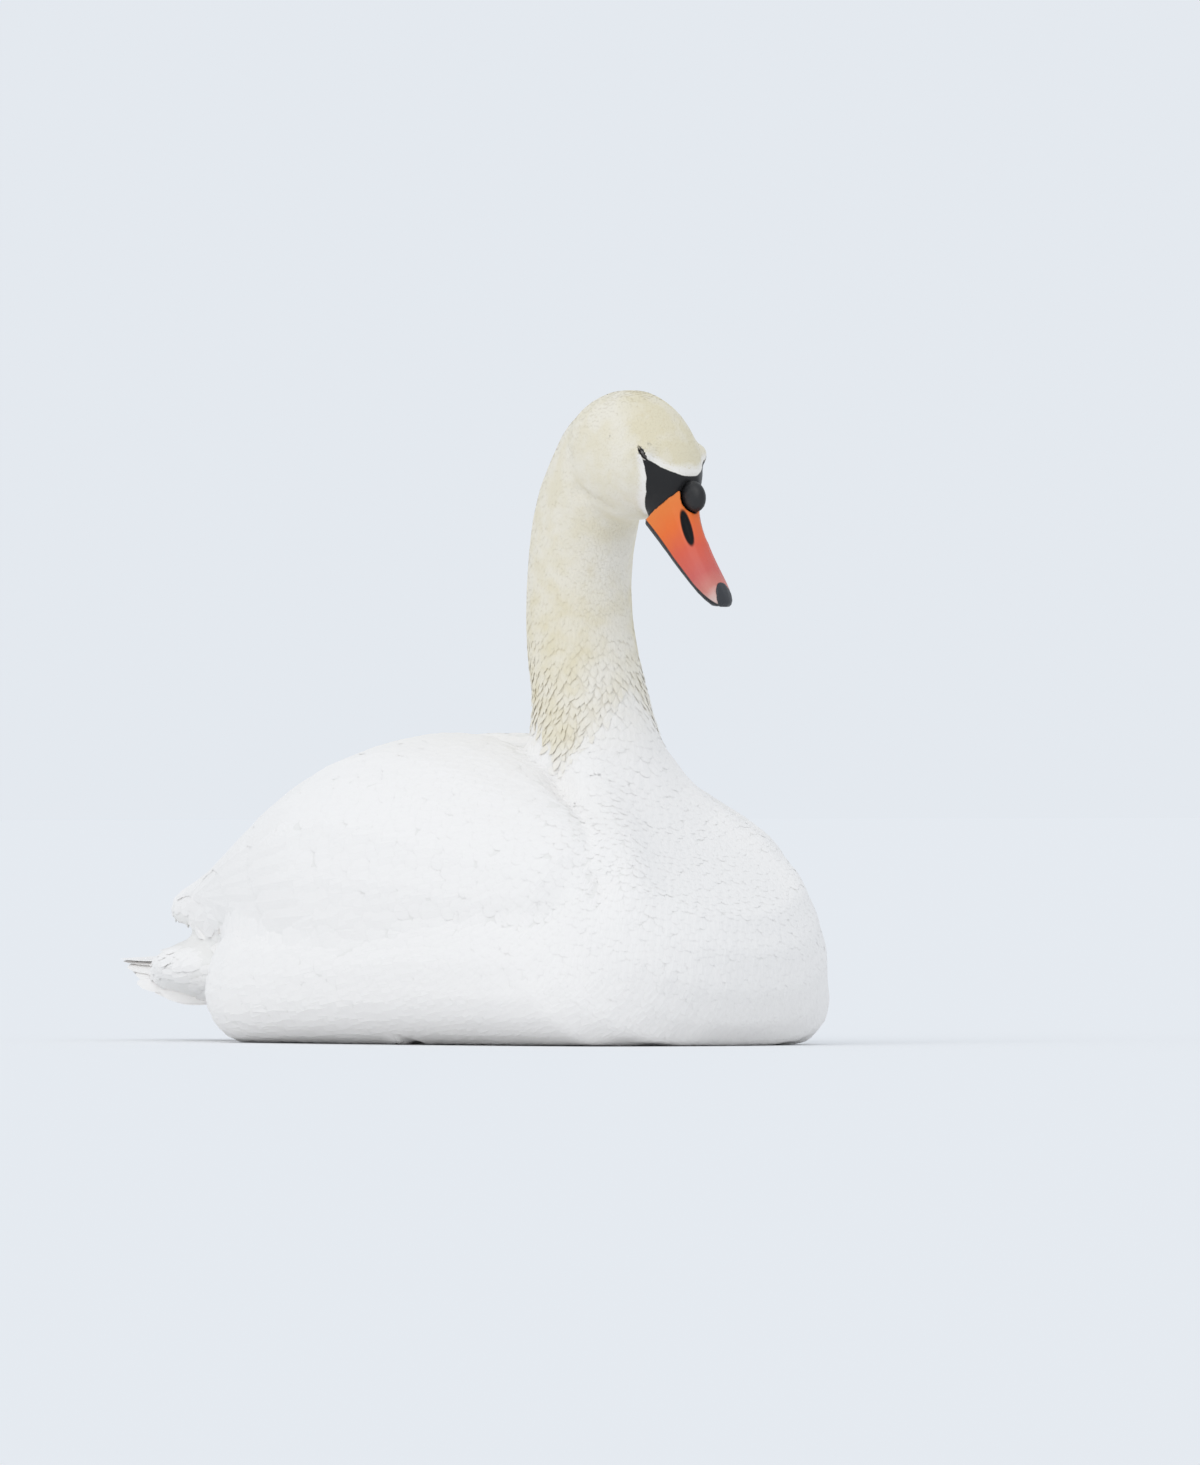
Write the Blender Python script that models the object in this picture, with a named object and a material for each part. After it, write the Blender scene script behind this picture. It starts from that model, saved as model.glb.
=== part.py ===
"""A mute swan at rest on the ground: wings folded, neck upright, bill lowered. Life size, in metres.

+Z is up and the bird faces -Y, so its left side is +X. The floor is z = 0 and the origin is the middle of
the bird's footprint box. Points are written as (forward, side, up) in the frame of the empty that the piece
hangs from: `bird` for the body, `head_frame` for the head, whose forward axis runs along the bill.
"""

import math

import bmesh
import bpy
from mathutils import Matrix, Vector

# ---------------- driving sizes, metres
GAP = 0.0003  # clearance between neighbouring pieces

HEAD_FORWARD, HEAD_UP = 0.0834, 0.4508
HEAD_PITCH = math.radians(52.0)  # how far the bill points below the level
EYE_RADIUS = 0.0065
EYE_FORWARD, EYE_SIDE, EYE_CROWN = 0.0256, 0.0264, 0.0350
KNOB_FORWARD, KNOB_CROWN = 0.0675, 0.0365
KNOB_RADII = (0.0098, 0.0135, 0.0118)  # side, along the bill, crownward
BILL_ROOT, BILL_TIP = 0.0600, 0.1560
NAIL_RADII = (0.0076, 0.0137, 0.0095)
NOSTRIL_FORWARD, NOSTRIL_SIDE, NOSTRIL_CROWN = 0.0878, 0.0088, 0.0235
NOSTRIL_RADII = (0.0032, 0.0138, 0.0034)
NOSTRIL_TURN = math.radians(14.0)  # the slot follows the slope of the bill's back
JAW_DEPTH = 0.0072

NECK_ROOT = 0.2460  # level where the neck leaves the trunk

VANE_STEP = 0.0016  # how far one flight feather's vane stands over the next
RECTRICES = 11
TAIL_ROOT, TAIL_TIP = -0.287, -0.500
TAIL_SPREAD = math.radians(21.0)

FOOT_FORWARD, FOOT_SIDE = -0.145, 0.072
TOE_LENGTH = 0.118
TOE_SPREAD = math.radians(27.0)

# ---------------- scene, frames and materials
for old in list(bpy.data.objects):
    bpy.data.objects.remove(old, do_unlink=True)
swan = bpy.data.collections.new("Mute swan")
cutters = bpy.data.collections.new("Cutters")
cutters.hide_render = True
for made in (swan, cutters):
    bpy.context.scene.collection.children.link(made)


def frame(name, location=(0, 0, 0), turn=0.0, parent=None):
    made = bpy.data.objects.new(name, None)
    made.empty_display_size = 0.05
    made.location = location
    made.rotation_euler = (turn, 0, 0)
    made.parent = parent
    swan.objects.link(made)
    return made


bird = frame("bird")
head_frame = frame("head_frame", (0, -HEAD_FORWARD, HEAD_UP), HEAD_PITCH, bird)


def material(name, colour, roughness):
    made = bpy.data.materials.new(name)
    made.use_nodes = True
    shader = made.node_tree.nodes["Principled BSDF"]
    shader.inputs["Base Color"].default_value = (*colour, 1.0)
    shader.inputs["Roughness"].default_value = roughness
    made.diffuse_color = (*colour, 1.0)
    return made


WHITE = material("white plumage", (0.86, 0.87, 0.88), 0.8)
CREAM = material("cream plumage", (0.78, 0.74, 0.62), 0.8)
ORANGE = material("orange bill", (0.74, 0.19, 0.04), 0.45)
BLACK = material("black bare skin", (0.02, 0.02, 0.022), 0.5)
HORN = material("black horn", (0.03, 0.032, 0.04), 0.35)
EYE = material("eye", (0.012, 0.008, 0.006), 0.1)
FOOT = material("foot skin", (0.03, 0.03, 0.032), 0.6)


# ---------------- shared shape tools
def resample(rows, count):
    """Rows of numbers, run through by a smooth curve and read at `count` even places."""
    last = len(rows) - 1
    made = []
    for step in range(count):
        at = step * last / (count - 1)
        i = min(int(at), last - 1)
        t = at - i
        a, b = rows[i], rows[i + 1]
        before = rows[i - 1] if i else [2 * p - q for p, q in zip(a, b)]
        after = rows[i + 2] if i + 2 <= last else [2 * q - p for p, q in zip(a, b)]
        row = []
        for p, q, r, s in zip(before, a, b, after):
            square, cube = 2 * p - 5 * q + 4 * r - s, 3 * q - p - 3 * r + s
            row.append(q + 0.5 * ((r - p) * t + square * t**2 + cube * t**3))
        made.append(row)
    return made


def loop(sides, half_width, up, down, top_power=2.0, low_power=2.0):
    """A closed section as (side, rise) pairs, squared off as the powers grow past 2."""
    made = []
    for i in range(sides):
        angle = 2 * math.pi * i / sides
        c, s = math.cos(angle), math.sin(angle)
        power = top_power if s >= 0 else low_power
        side = math.copysign(abs(c) ** (2 / power), c)
        rise = math.copysign(abs(s) ** (2 / power), s)
        made.append((half_width * side, (up if s >= 0 else down) * rise))
    return made


def place(point):
    """(forward, side, up) to the frame's own axes."""
    return Vector((point[1], -point[0], point[2]))


def finish(name, shape, skin, parent, grow=0.0):
    """The closed body as an object: a piece with a material, or a cutter without one."""
    bmesh.ops.remove_doubles(shape, verts=shape.verts, dist=0.00002)
    bmesh.ops.triangulate(shape, faces=shape.faces, quad_method="SHORT_EDGE")
    bmesh.ops.recalc_face_normals(shape, faces=shape.faces)
    if grow:
        shape.normal_update()
        for vert, normal in [(v, v.normal.copy()) for v in shape.verts]:
            vert.co += normal * grow
    mesh = bpy.data.meshes.new(name)
    shape.to_mesh(mesh)
    shape.free()
    mesh.shade_smooth()
    made = bpy.data.objects.new(name, mesh)
    made.parent = parent
    if skin:
        mesh.materials.append(skin)
        swan.objects.link(made)
    else:
        made.display_type = "WIRE"
        made.hide_render = True
        cutters.objects.link(made)
    return made


def walls(shape, rings):
    """Faces from each ring to the next; the rings' own points are returned."""
    grid = [[shape.verts.new(place(p)) for p in ring] for ring in rings]
    sides = len(rings[0])
    for low, high in zip(grid, grid[1:]):
        for i in range(sides):
            j = (i + 1) % sides
            shape.faces.new((low[i], low[j], high[j], high[i]))
    return grid


def loft(name, rings, skin=None, parent=bird, start=None, end=None, grow=0.0):
    """A closed body through equal rings. Each end closes on a point, or flat where none is given."""
    shape = bmesh.new()
    grid = walls(shape, rings)
    for ring, pole in ((grid[0], start), (grid[-1], end)):
        middle = place(pole) if pole else sum((v.co for v in ring), Vector()) / len(ring)
        tip = shape.verts.new(middle)
        for i in range(len(ring)):
            shape.faces.new((ring[i], ring[(i + 1) % len(ring)], tip))
    return finish(name, shape, skin, parent, grow)


def plate(name, over, under, skin=None, grow=0.0):
    """A thin closed body between an upper and a lower grid of points."""
    shape = bmesh.new()
    grid = walls(shape, [high + low[::-1] for high, low in zip(over, under)])
    columns = len(over[0])
    for ring in (grid[0], grid[-1]):
        for i in range(columns - 1):
            shape.faces.new((ring[i], ring[i + 1], ring[-2 - i], ring[-1 - i]))
    return finish(name, shape, skin, bird, grow)


def ball(name, centre, radii, skin=None, across=14, down=9):
    """An ellipsoid in the head's frame; centre is (forward, side, up), radii are (side, along, up)."""
    shape = bmesh.new()
    stretch = Matrix.Diagonal((*radii, 1))
    bmesh.ops.create_uvsphere(shape, u_segments=across, v_segments=down, radius=1.0, matrix=stretch)
    made = finish(name, shape, skin, head_frame)
    made.location = place(centre)
    return made


def combine(target, other, operation):
    """Joins, cuts or keeps the overlap of `target` with `other`, as a live exact Boolean."""
    step = target.modifiers.new(operation.lower() + " " + other.name, "BOOLEAN")
    step.operation = operation
    step.solver = "EXACT"
    step.object = other


def grown(radii):
    return [r + GAP for r in radii]


# ---------------- trunk: rump, belly and breast up to the neck's root
TRUNK_SIDES, TRUNK_RINGS = 28, 24
# Sections that stand upright through the rump and fan round the neck's root through the breast:
# dorsal forward, dorsal up, ventral forward, ventral up, half width, widest place, top power, low power
TRUNK = [
    (-0.310, 0.086, -0.313, 0.020, 0.062, 0.62, 2.00, 2.5),
    (-0.297, 0.108, -0.303, -0.003, 0.096, 0.64, 2.00, 2.9),
    (-0.264, 0.134, -0.271, -0.009, 0.125, 0.66, 1.90, 3.1),
    (-0.208, 0.164, -0.212, -0.010, 0.146, 0.68, 1.80, 3.1),
    (-0.135, 0.194, -0.125, -0.010, 0.159, 0.69, 1.70, 3.1),
    (-0.060, 0.213, -0.040, -0.010, 0.165, 0.69, 1.65, 3.1),
    (-0.020, 0.222, 0.040, -0.010, 0.165, 0.69, 1.60, 3.1),
    (-0.014, 0.226, 0.115, -0.010, 0.159, 0.69, 1.60, 3.1),
    (-0.012, 0.229, 0.178, -0.008, 0.148, 0.69, 1.60, 3.0),
    (-0.011, 0.231, 0.210, 0.012, 0.131, 0.68, 1.60, 2.4),
    (-0.011, 0.233, 0.228, 0.052, 0.115, 0.66, 1.65, 2.3),
    (-0.011, 0.235, 0.219, 0.096, 0.100, 0.61, 1.70, 2.1),
    (-0.011, 0.237, 0.176, 0.132, 0.081, 0.56, 1.80, 2.0),
    (-0.011, 0.239, 0.134, 0.166, 0.063, 0.52, 1.90, 2.0),
    (-0.011, 0.242, 0.103, 0.206, 0.051, 0.50, 2.00, 2.0),
    (-0.011, 0.246, 0.088, 0.246, 0.0465, 0.50, 2.00, 2.0),
]

trunk_rings = []
for df, dz, vf, vz, half, widest, top, low in resample(TRUNK, TRUNK_RINGS):
    back, belly = Vector((df, dz)), Vector((vf, vz))
    centre, up = back.lerp(belly, widest), (back - belly).normalized()
    section = loop(TRUNK_SIDES, half, (back - centre).length, (belly - centre).length, top, low)
    points = [(centre + up * rise, side) for side, rise in section]
    trunk_rings.append([(at.x, side, max(at.y, 0.0)) for at, side in points])
trunk = loft("trunk", trunk_rings, WHITE, start=(-0.320, 0.0, 0.056))

# ---------------- neck: level sections, their tops lost in the nape
NECK_SIDES, NECK_RINGS = 22, 12
# forward, up, half depth, half width
NECK = [
    (0.0385, NECK_ROOT + GAP, 0.0495, 0.0465),
    (0.0365, 0.262, 0.0465, 0.0440),
    (0.0315, 0.283, 0.0455, 0.0422),
    (0.0252, 0.309, 0.0445, 0.0405),
    (0.0225, 0.337, 0.0430, 0.0387),
    (0.0235, 0.365, 0.0425, 0.0383),
    (0.0280, 0.393, 0.0435, 0.0383),
    (0.0370, 0.420, 0.0455, 0.0390),
    (0.0490, 0.444, 0.0450, 0.0380),
    (0.0590, 0.466, 0.0425, 0.0345),
    (0.0640, 0.482, 0.0345, 0.0280),
]
neck_rings = [
    [(f + rise, side, z) for side, rise in loop(NECK_SIDES, half, depth, depth)]
    for f, z, depth, half in resample(NECK, NECK_RINGS)
]
neck = loft("neck", neck_rings, CREAM)

# ---------------- head, from the back of the skull to the bill's root
HEAD_SIDES, HEAD_RINGS = 24, 13
# forward, middle up, half height, half width
HEAD = [
    (-0.0555, -0.0010, 0.0100, 0.0090),
    (-0.0495, -0.0010, 0.0280, 0.0235),
    (-0.0340, -0.0010, 0.0445, 0.0370),
    (-0.0140, -0.0005, 0.0515, 0.0430),
    (0.0060, 0.0005, 0.0525, 0.0445),
    (0.0250, 0.0040, 0.0485, 0.0420),
    (0.0400, 0.0105, 0.0385, 0.0340),
    (0.0510, 0.0175, 0.0275, 0.0245),
    (0.0592, 0.0195, 0.0205, 0.0175),
]
head_rings = [
    [(f, side, middle + rise) for side, rise in loop(HEAD_SIDES, half, high, high)]
    for f, middle, high, half in resample(HEAD, HEAD_RINGS)
]
skull = (-0.0575, 0.0, 0.0)
head = loft("head", head_rings, CREAM, head_frame, start=skull)
combine(neck, loft("head room", head_rings, None, head_frame, start=skull, grow=GAP), "DIFFERENCE")

# ---------------- bill: upper and lower halves, knob, nail, nostrils
BILL_SIDES, BILL_RINGS = 18, 13
# forward, ridge up, cutting edge up, half width
BILL = [
    (BILL_ROOT, 0.0395, -0.0015, 0.0190),
    (0.0720, 0.0330, -0.0010, 0.0168),
    (0.0850, 0.0277, 0.0003, 0.0155),
    (0.1000, 0.0240, 0.0018, 0.0147),
    (0.1150, 0.0220, 0.0040, 0.0143),
    (0.1300, 0.0210, 0.0066, 0.0140),
    (0.1420, 0.0202, 0.0090, 0.0127),
    (0.1500, 0.0190, 0.0110, 0.0097),
    (0.1545, 0.0172, 0.0125, 0.0055),
]
upper_rings, jaw_rings = [], []
for f, ridge, edge, half in resample(BILL, BILL_RINGS):
    section = loop(BILL_SIDES, half, ridge - edge, 0.0006, 2.15, 4.0)
    upper_rings.append([(f, side, edge + rise) for side, rise in section])
for f, ridge, edge, half in resample(BILL[:-1], BILL_RINGS - 3):
    depth = JAW_DEPTH * (1 - 0.42 * (f - BILL_ROOT) / (BILL_TIP - BILL_ROOT))
    section = loop(14, half - 0.0016, 0.0005, depth, 4.0, 2.2)
    jaw_rings.append([(f, side, edge - 0.0011 - GAP + rise) for side, rise in section])
tip = (BILL_TIP, 0.0, 0.0140)
bill_upper = loft("bill_upper", upper_rings, ORANGE, head_frame, end=tip)
bill_nail = loft("bill_nail", upper_rings, HORN, head_frame, end=tip)
loft("bill_lower", jaw_rings, HORN, head_frame, end=(0.1523, 0.0, 0.0085))

nail_at = (BILL_TIP - 0.0035, 0.0, 0.0200)
combine(bill_nail, ball("nail shape", nail_at, NAIL_RADII), "INTERSECT")
combine(bill_upper, ball("nail room", nail_at, grown(NAIL_RADII)), "DIFFERENCE")

knob_at = (KNOB_FORWARD, 0.0, KNOB_CROWN)
ball("bill_knob", knob_at, KNOB_RADII, BLACK)
knob_room = ball("knob room", knob_at, grown(KNOB_RADII))
combine(head, knob_room, "DIFFERENCE")
combine(bill_upper, knob_room, "DIFFERENCE")

# ---------------- bare black skin between the eyes and the bill
MASK = [
    (0.0350, 0.0340),
    (0.0420, 0.0425),
    (0.0540, 0.0445),
    (0.0540, 0.0600),
    (0.0760, 0.0600),
    (0.0760, -0.0120),
    (0.0590, -0.0040),
    (0.0500, 0.0240),
]


def mask_block(name, grow=0.0):
    """A block standing on the mask's outline, to keep or cut that much of the head."""
    middle = Vector([sum(p[k] for p in MASK) / len(MASK) for k in (0, 1)])
    outline = []
    for point in MASK:
        away = Vector(point) - middle
        outline.append(middle + away * (1 + grow * 2.2 / away.length))
    return loft(name, [[(at.x, side, at.y) for at in outline] for side in (-0.06, 0.06)], None, head_frame)


mask = loft("face_mask", head_rings, BLACK, head_frame, start=skull)
combine(mask, mask_block("mask shape"), "INTERSECT")
combine(mask, knob_room, "DIFFERENCE")
combine(head, mask_block("mask room", GAP), "DIFFERENCE")

# ---------------- folded wings: coverts and flight feathers as one form
WING_SIDES, WING_RINGS = 18, 19
# forward, top edge side and up, low edge side and up, bulge, thickness
WING = [
    (0.150, 0.070, 0.132, 0.100, 0.092, 0.003, 0.012),
    (0.122, 0.058, 0.160, 0.120, 0.072, 0.020, 0.034),
    (0.080, 0.050, 0.191, 0.136, 0.058, 0.029, 0.036),
    (0.030, 0.047, 0.219, 0.144, 0.051, 0.038, 0.037),
    (-0.020, 0.036, 0.234, 0.147, 0.048, 0.048, 0.036),
    (-0.080, 0.018, 0.238, 0.147, 0.048, 0.057, 0.034),
    (-0.140, 0.008, 0.235, 0.140, 0.050, 0.056, 0.032),
    (-0.200, 0.005, 0.217, 0.123, 0.056, 0.051, 0.029),
    (-0.260, 0.004, 0.188, 0.097, 0.064, 0.042, 0.025),
    (-0.315, 0.003, 0.157, 0.068, 0.073, 0.032, 0.020),
    (-0.368, 0.003, 0.129, 0.045, 0.081, 0.020, 0.016),
    (-0.417, 0.003, 0.109, 0.029, 0.091, 0.010, 0.012),
]


def wing(name, sign, skin=None, grow=0.0):
    rings = []
    for f, top_x, top_z, low_x, low_z, bulge, thick in resample(WING, WING_RINGS):
        top, low = Vector((top_x, top_z)), Vector((low_x, low_z))
        out = Vector((top_z - low_z, low_x - top_x)).normalized()
        vanes = VANE_STEP * min(1.0, max(0.0, (0.02 - f) / 0.25))
        ring = []
        for i in range(WING_SIDES):
            angle = 2 * math.pi * i / WING_SIDES
            down = 0.5 - 0.5 * math.cos(angle)
            lift = bulge * (1 - (2 * down - 1) ** 2) + 0.5 * thick * math.sin(angle)
            if math.sin(angle) > 0.1:
                lift += vanes * (i % 2)
            at = top.lerp(low, down) + out * lift
            ring.append((f, sign * at.x, at.y))
        rings.append(ring)
    start, end = (0.156, sign * 0.083, 0.112), (-0.437, sign * 0.013, 0.099)
    return loft(name, rings, skin, start=start, end=end, grow=grow)


# ---------------- tail: a roof of pointed feathers
TAIL_ROWS, TAIL_COLUMNS = 7, RECTRICES * 2 + 1


def tail_grid(lift):
    rows = []
    for i in range(TAIL_ROWS + 1):
        t = i / TAIL_ROWS
        row = []
        for j in range(TAIL_COLUMNS):
            across = 2 * j / (TAIL_COLUMNS - 1) - 1
            ridge = j % 2
            reach = (TAIL_ROOT - TAIL_TIP) * (1 - 0.22 * across**2) * (1 if ridge else 0.93) * t
            bearing = TAIL_SPREAD * across
            side = across * 0.030 * (1 - 0.45 * t) + reach * math.sin(bearing)
            thick = (0.012 * (1 - t) + 0.0014) * (1 - 0.6 * across**2) + 0.0007 * ridge
            rise = 0.070 - 0.010 * t - (0.018 + 0.006 * t) * across**2 + lift * thick / 2
            row.append((TAIL_ROOT - reach * math.cos(bearing), side, rise))
        rows.append(row)
    return rows


plate("tail", tail_grid(1), tail_grid(-1), WHITE)
combine(trunk, plate("tail room", tail_grid(1), tail_grid(-1), grow=GAP), "DIFFERENCE")

# ---------------- legs: shank and webbed foot, folded under the flank
FOOT_ROWS, FOOT_COLUMNS = 4, 13


def foot_grid(sign, flat):
    """Three toes and the webs between them, on a flat sole."""
    rows = []
    for i in range(FOOT_ROWS + 1):
        t = i / FOOT_ROWS
        row = []
        for j in range(FOOT_COLUMNS):
            across = 2 * j / (FOOT_COLUMNS - 1) - 1
            toe = 0.5 + 0.5 * math.cos(2 * math.pi * across)
            reach = TOE_LENGTH * (1 - 0.10 * across**2) * (0.86 + 0.14 * toe) * t
            bearing = TOE_SPREAD * across
            forward = FOOT_FORWARD + 0.006 + reach * math.cos(bearing)
            side = FOOT_SIDE + across * 0.008 + reach * math.sin(bearing)
            high = 0.0022 + (0.0085 - 0.0050 * t) * toe**2
            row.append((forward, sign * side, 0.0 if flat else high))
        rows.append(row)
    return rows


def shank(name, sign):
    # behind the ankle, half width, height
    sections = [
        (-0.012, 0.0085, 0.0135),
        (0.010, 0.0075, 0.0125),
        (0.045, 0.0065, 0.0120),
        (0.075, 0.0075, 0.0135),
        (0.092, 0.0095, 0.0170),
    ]
    rings = []
    for back, half, high in sections:
        f, middle = FOOT_FORWARD - back, high / 2
        section = loop(12, half, middle, middle, 2.4, 3.2)
        rings.append([(f, sign * (FOOT_SIDE + side), middle + rise) for side, rise in section])
    return loft(name, rings)


def leg_room(name, sign):
    """The hollow under the belly that the folded leg lies in."""
    # forward of the ankle, half width, height
    sections = [
        (-0.104, 0.013, 0.0190),
        (-0.072, 0.011, 0.0160),
        (-0.010, 0.012, 0.0150),
        (0.012, 0.020, 0.0145),
        (0.075, 0.046, 0.0130),
        (0.118, 0.064, 0.0100),
        (0.130, 0.030, 0.0100),
    ]
    rings = []
    for f, half, high in sections:
        arch = ((half, -0.004), (half, high), (0.0, high + 0.001), (-half, high), (-half, -0.004))
        rings.append([(FOOT_FORWARD + f, sign * (FOOT_SIDE + side), z) for side, z in arch])
    return loft(name, rings)


# ---------------- the paired pieces, left at +X
for label, sign in (("left", 1), ("right", -1)):
    nostril_at = (NOSTRIL_FORWARD, sign * NOSTRIL_SIDE, NOSTRIL_CROWN)
    hollow = ball("nostril " + label, nostril_at, NOSTRIL_RADII)
    hollow.rotation_euler.x = NOSTRIL_TURN
    combine(bill_upper, hollow, "DIFFERENCE")

    eye_at = (EYE_FORWARD, sign * EYE_SIDE, EYE_CROWN)
    ball("eye_" + label, eye_at, [EYE_RADIUS] * 3, EYE, across=12, down=8)
    eye_room = ball("eye room " + label, eye_at, grown([EYE_RADIUS] * 3), across=12, down=8)
    combine(head, eye_room, "DIFFERENCE")
    combine(mask, eye_room, "DIFFERENCE")

    wing("wing_" + label, sign, WHITE)
    combine(trunk, wing("wing room " + label, sign, grow=GAP), "DIFFERENCE")

    leg = plate("leg_" + label, foot_grid(sign, False), foot_grid(sign, True), FOOT)
    combine(leg, shank("shank " + label, sign), "UNION")
    combine(trunk, leg_room("leg room " + label, sign), "DIFFERENCE")

# ---------------- the origin: middle of the footprint box, on the floor
bpy.context.view_layer.update()
graph = bpy.context.evaluated_depsgraph_get()
reach = []
for made in swan.objects:
    if made.type == "MESH":
        seen = made.evaluated_get(graph)
        reach += [(made.matrix_world @ vert.co).y for vert in seen.data.vertices]
bird.location.y = -(min(reach) + max(reach)) / 2
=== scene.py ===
# %% [markdown]
# # A mute swan at rest
# A large white bird lies on its belly with its wings folded and its neck upright. A museum model of it has
# three layers: a body form that sets the outline, a skin just inside that form, and the plumage between the
# two. This lesson builds them in that order. The packed model gives the places and sizes of the body, and the
# horn of the bill, the eyes and the feet are made as pieces of their own.

import math

import bmesh
import bpy
import numpy as np
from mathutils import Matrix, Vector
from mathutils.bvhtree import BVHTree
from mathutils.kdtree import KDTree


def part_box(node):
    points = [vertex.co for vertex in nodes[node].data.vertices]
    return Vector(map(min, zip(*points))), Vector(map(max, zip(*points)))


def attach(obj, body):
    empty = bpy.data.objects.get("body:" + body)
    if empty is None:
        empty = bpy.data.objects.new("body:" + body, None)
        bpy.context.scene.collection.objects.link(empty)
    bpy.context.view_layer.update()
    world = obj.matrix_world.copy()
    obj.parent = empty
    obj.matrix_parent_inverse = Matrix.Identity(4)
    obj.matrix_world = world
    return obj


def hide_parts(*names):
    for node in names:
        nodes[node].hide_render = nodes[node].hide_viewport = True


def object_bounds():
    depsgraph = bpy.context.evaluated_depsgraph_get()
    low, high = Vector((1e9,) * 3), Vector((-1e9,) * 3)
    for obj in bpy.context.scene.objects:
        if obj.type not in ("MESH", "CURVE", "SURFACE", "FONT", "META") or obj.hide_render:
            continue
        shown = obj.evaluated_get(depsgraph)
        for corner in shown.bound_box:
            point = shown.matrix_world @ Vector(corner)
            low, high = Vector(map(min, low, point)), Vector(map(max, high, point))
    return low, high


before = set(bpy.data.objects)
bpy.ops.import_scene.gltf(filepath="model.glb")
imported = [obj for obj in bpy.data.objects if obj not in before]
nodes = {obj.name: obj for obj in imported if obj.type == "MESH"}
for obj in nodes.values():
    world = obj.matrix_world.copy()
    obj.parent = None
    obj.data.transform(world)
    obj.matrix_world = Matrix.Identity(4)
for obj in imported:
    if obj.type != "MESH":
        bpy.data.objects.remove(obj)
scene = bpy.context.scene
cad_box = [list(corner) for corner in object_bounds()]
sides = [round(high - low, 3) for low, high in zip(*cad_box)]
print("The packed model has", len(nodes), "nodes and measures", sides, "m")


# %% [markdown]
# ## Landmarks
# The head is tilted, so sizes on it are easiest to read in its own axes: `along` the bill, to the `side`, and
# `crown`wards. The eyes give that frame its origin. On the body, the neck's root and the wings are the
# landmarks.

# %% The head's own axes
BILL_PITCH = math.radians(52.0)
EYE_ALONG, EYE_CROWN = 0.0256, 0.0350
ALONG = np.array([0.0, -math.cos(BILL_PITCH), -math.sin(BILL_PITCH)])
CROWN = np.array([0.0, -math.sin(BILL_PITCH), math.cos(BILL_PITCH)])
NECK_RADIUS = 0.0500


def middle(name):
    low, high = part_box(name)
    return (np.array(low) + np.array(high)) / 2


eye_centres = {side: middle("eye_" + side) for side in ("left", "right")}
head_origin = (eye_centres["left"] + eye_centres["right"]) / 2 - EYE_ALONG * ALONG - EYE_CROWN * CROWN
neck_low, neck_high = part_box("neck")
neck_root = np.array([0.0, neck_high[1] - NECK_RADIUS, neck_low[2]])


def head_axes(points):
    """The distances along the bill, sideways and crownwards of an array of points."""
    away = points - head_origin
    return away @ ALONG, away[:, 0], away @ CROWN


def on_head(along, side, crown):
    """The place that has these distances from the head's origin."""
    return head_origin + along * ALONG + np.array([side, 0.0, 0.0]) + crown * CROWN


def smoothstep(low, high, value):
    t = np.clip((value - low) / (high - low), 0.0, 1.0)
    return t * t * (3 - 2 * t)


def hump(value, centre, spread):
    """A smooth hill of height 1."""
    return np.exp(-(((value - centre) / spread) ** 2))


def unit(vectors):
    return vectors / np.maximum(np.linalg.norm(vectors, axis=1, keepdims=True), 1e-9)


print("Head origin", head_origin.round(4), "neck root", neck_root.round(4))


# %% [markdown]
# ## The form
# The form is the outline of the whole coat: the solids of trunk, neck, head and wings copied into one mesh.
# Plumage also fills hollows that the solids leave open, so a few simple fillers join them: a ridge between
# the folded wings, two eggs for the soft rump, a slim root for the tail and a skirt of down over each foot.
# A voxel remesh turns all of it into one even surface with no gaps. It still shows the flat facets of the
# solids, so it is smoothed by Taubin's method: a step that shrinks and a step that swells, in turn, which
# flattens facets and softens creases but keeps the size. Plain smoothing would make the neck thinner.

# %% Copies and remesh
FLESH = ("trunk", "neck", "head", "face_mask", "wing_left", "wing_right")
WELD = 0.00002  # corners nearer than this become one


def new_object(name, shape):
    """A new object in the scene from a bmesh, which is freed."""
    mesh = bpy.data.meshes.new(name)
    shape.to_mesh(mesh)
    shape.free()
    made = bpy.data.objects.new(name, mesh)
    scene.collection.objects.link(made)
    return made


def joined_copy(name, sources):
    """The named nodes of the packed model as one new object, with their triangles joined up."""
    shape = bmesh.new()
    for source in sources:
        shape.from_mesh(nodes[source].data)
    bmesh.ops.remove_doubles(shape, verts=shape.verts, dist=WELD)
    return new_object(name, shape)


def apply_modifiers(made):
    """The object's mesh as its modifiers leave it, with none left live."""
    bpy.context.view_layer.update()
    graph = bpy.context.evaluated_depsgraph_get()
    mesh = bpy.data.meshes.new_from_object(
        made.evaluated_get(graph), preserve_all_data_layers=True, depsgraph=graph
    )
    made.modifiers.clear()
    made.data = mesh
    mesh.name = made.name
    return made


def remesh(made, size):
    step = made.modifiers.new("remesh", "REMESH")
    step.mode = "VOXEL"
    step.voxel_size = size
    return apply_modifiers(made)


def array_of(items, field, columns, kind=np.float32):
    """One field of a mesh's vertices, edges or corners as an array with that many columns."""
    values = np.empty(len(items) * columns, kind)
    items.foreach_get(field, values)
    return values.reshape(-1, columns)


def points_of(made):
    return array_of(made.data.vertices, "co", 3).astype(float)


def normals_of(made):
    return array_of(made.data.vertex_normals, "vector", 3).astype(float)


def set_points(made, points):
    made.data.vertices.foreach_set("co", points.astype(np.float32).ravel())
    made.data.update()


form = joined_copy("form", FLESH + ("bill_upper", "eye_left", "eye_right"))
print("The solids make", len(form.data.polygons), "triangles")


# %% Smooth, clean and refine
def edge_ends(made):
    return array_of(made.data.edges, "vertices", 2, np.int32).T


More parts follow.
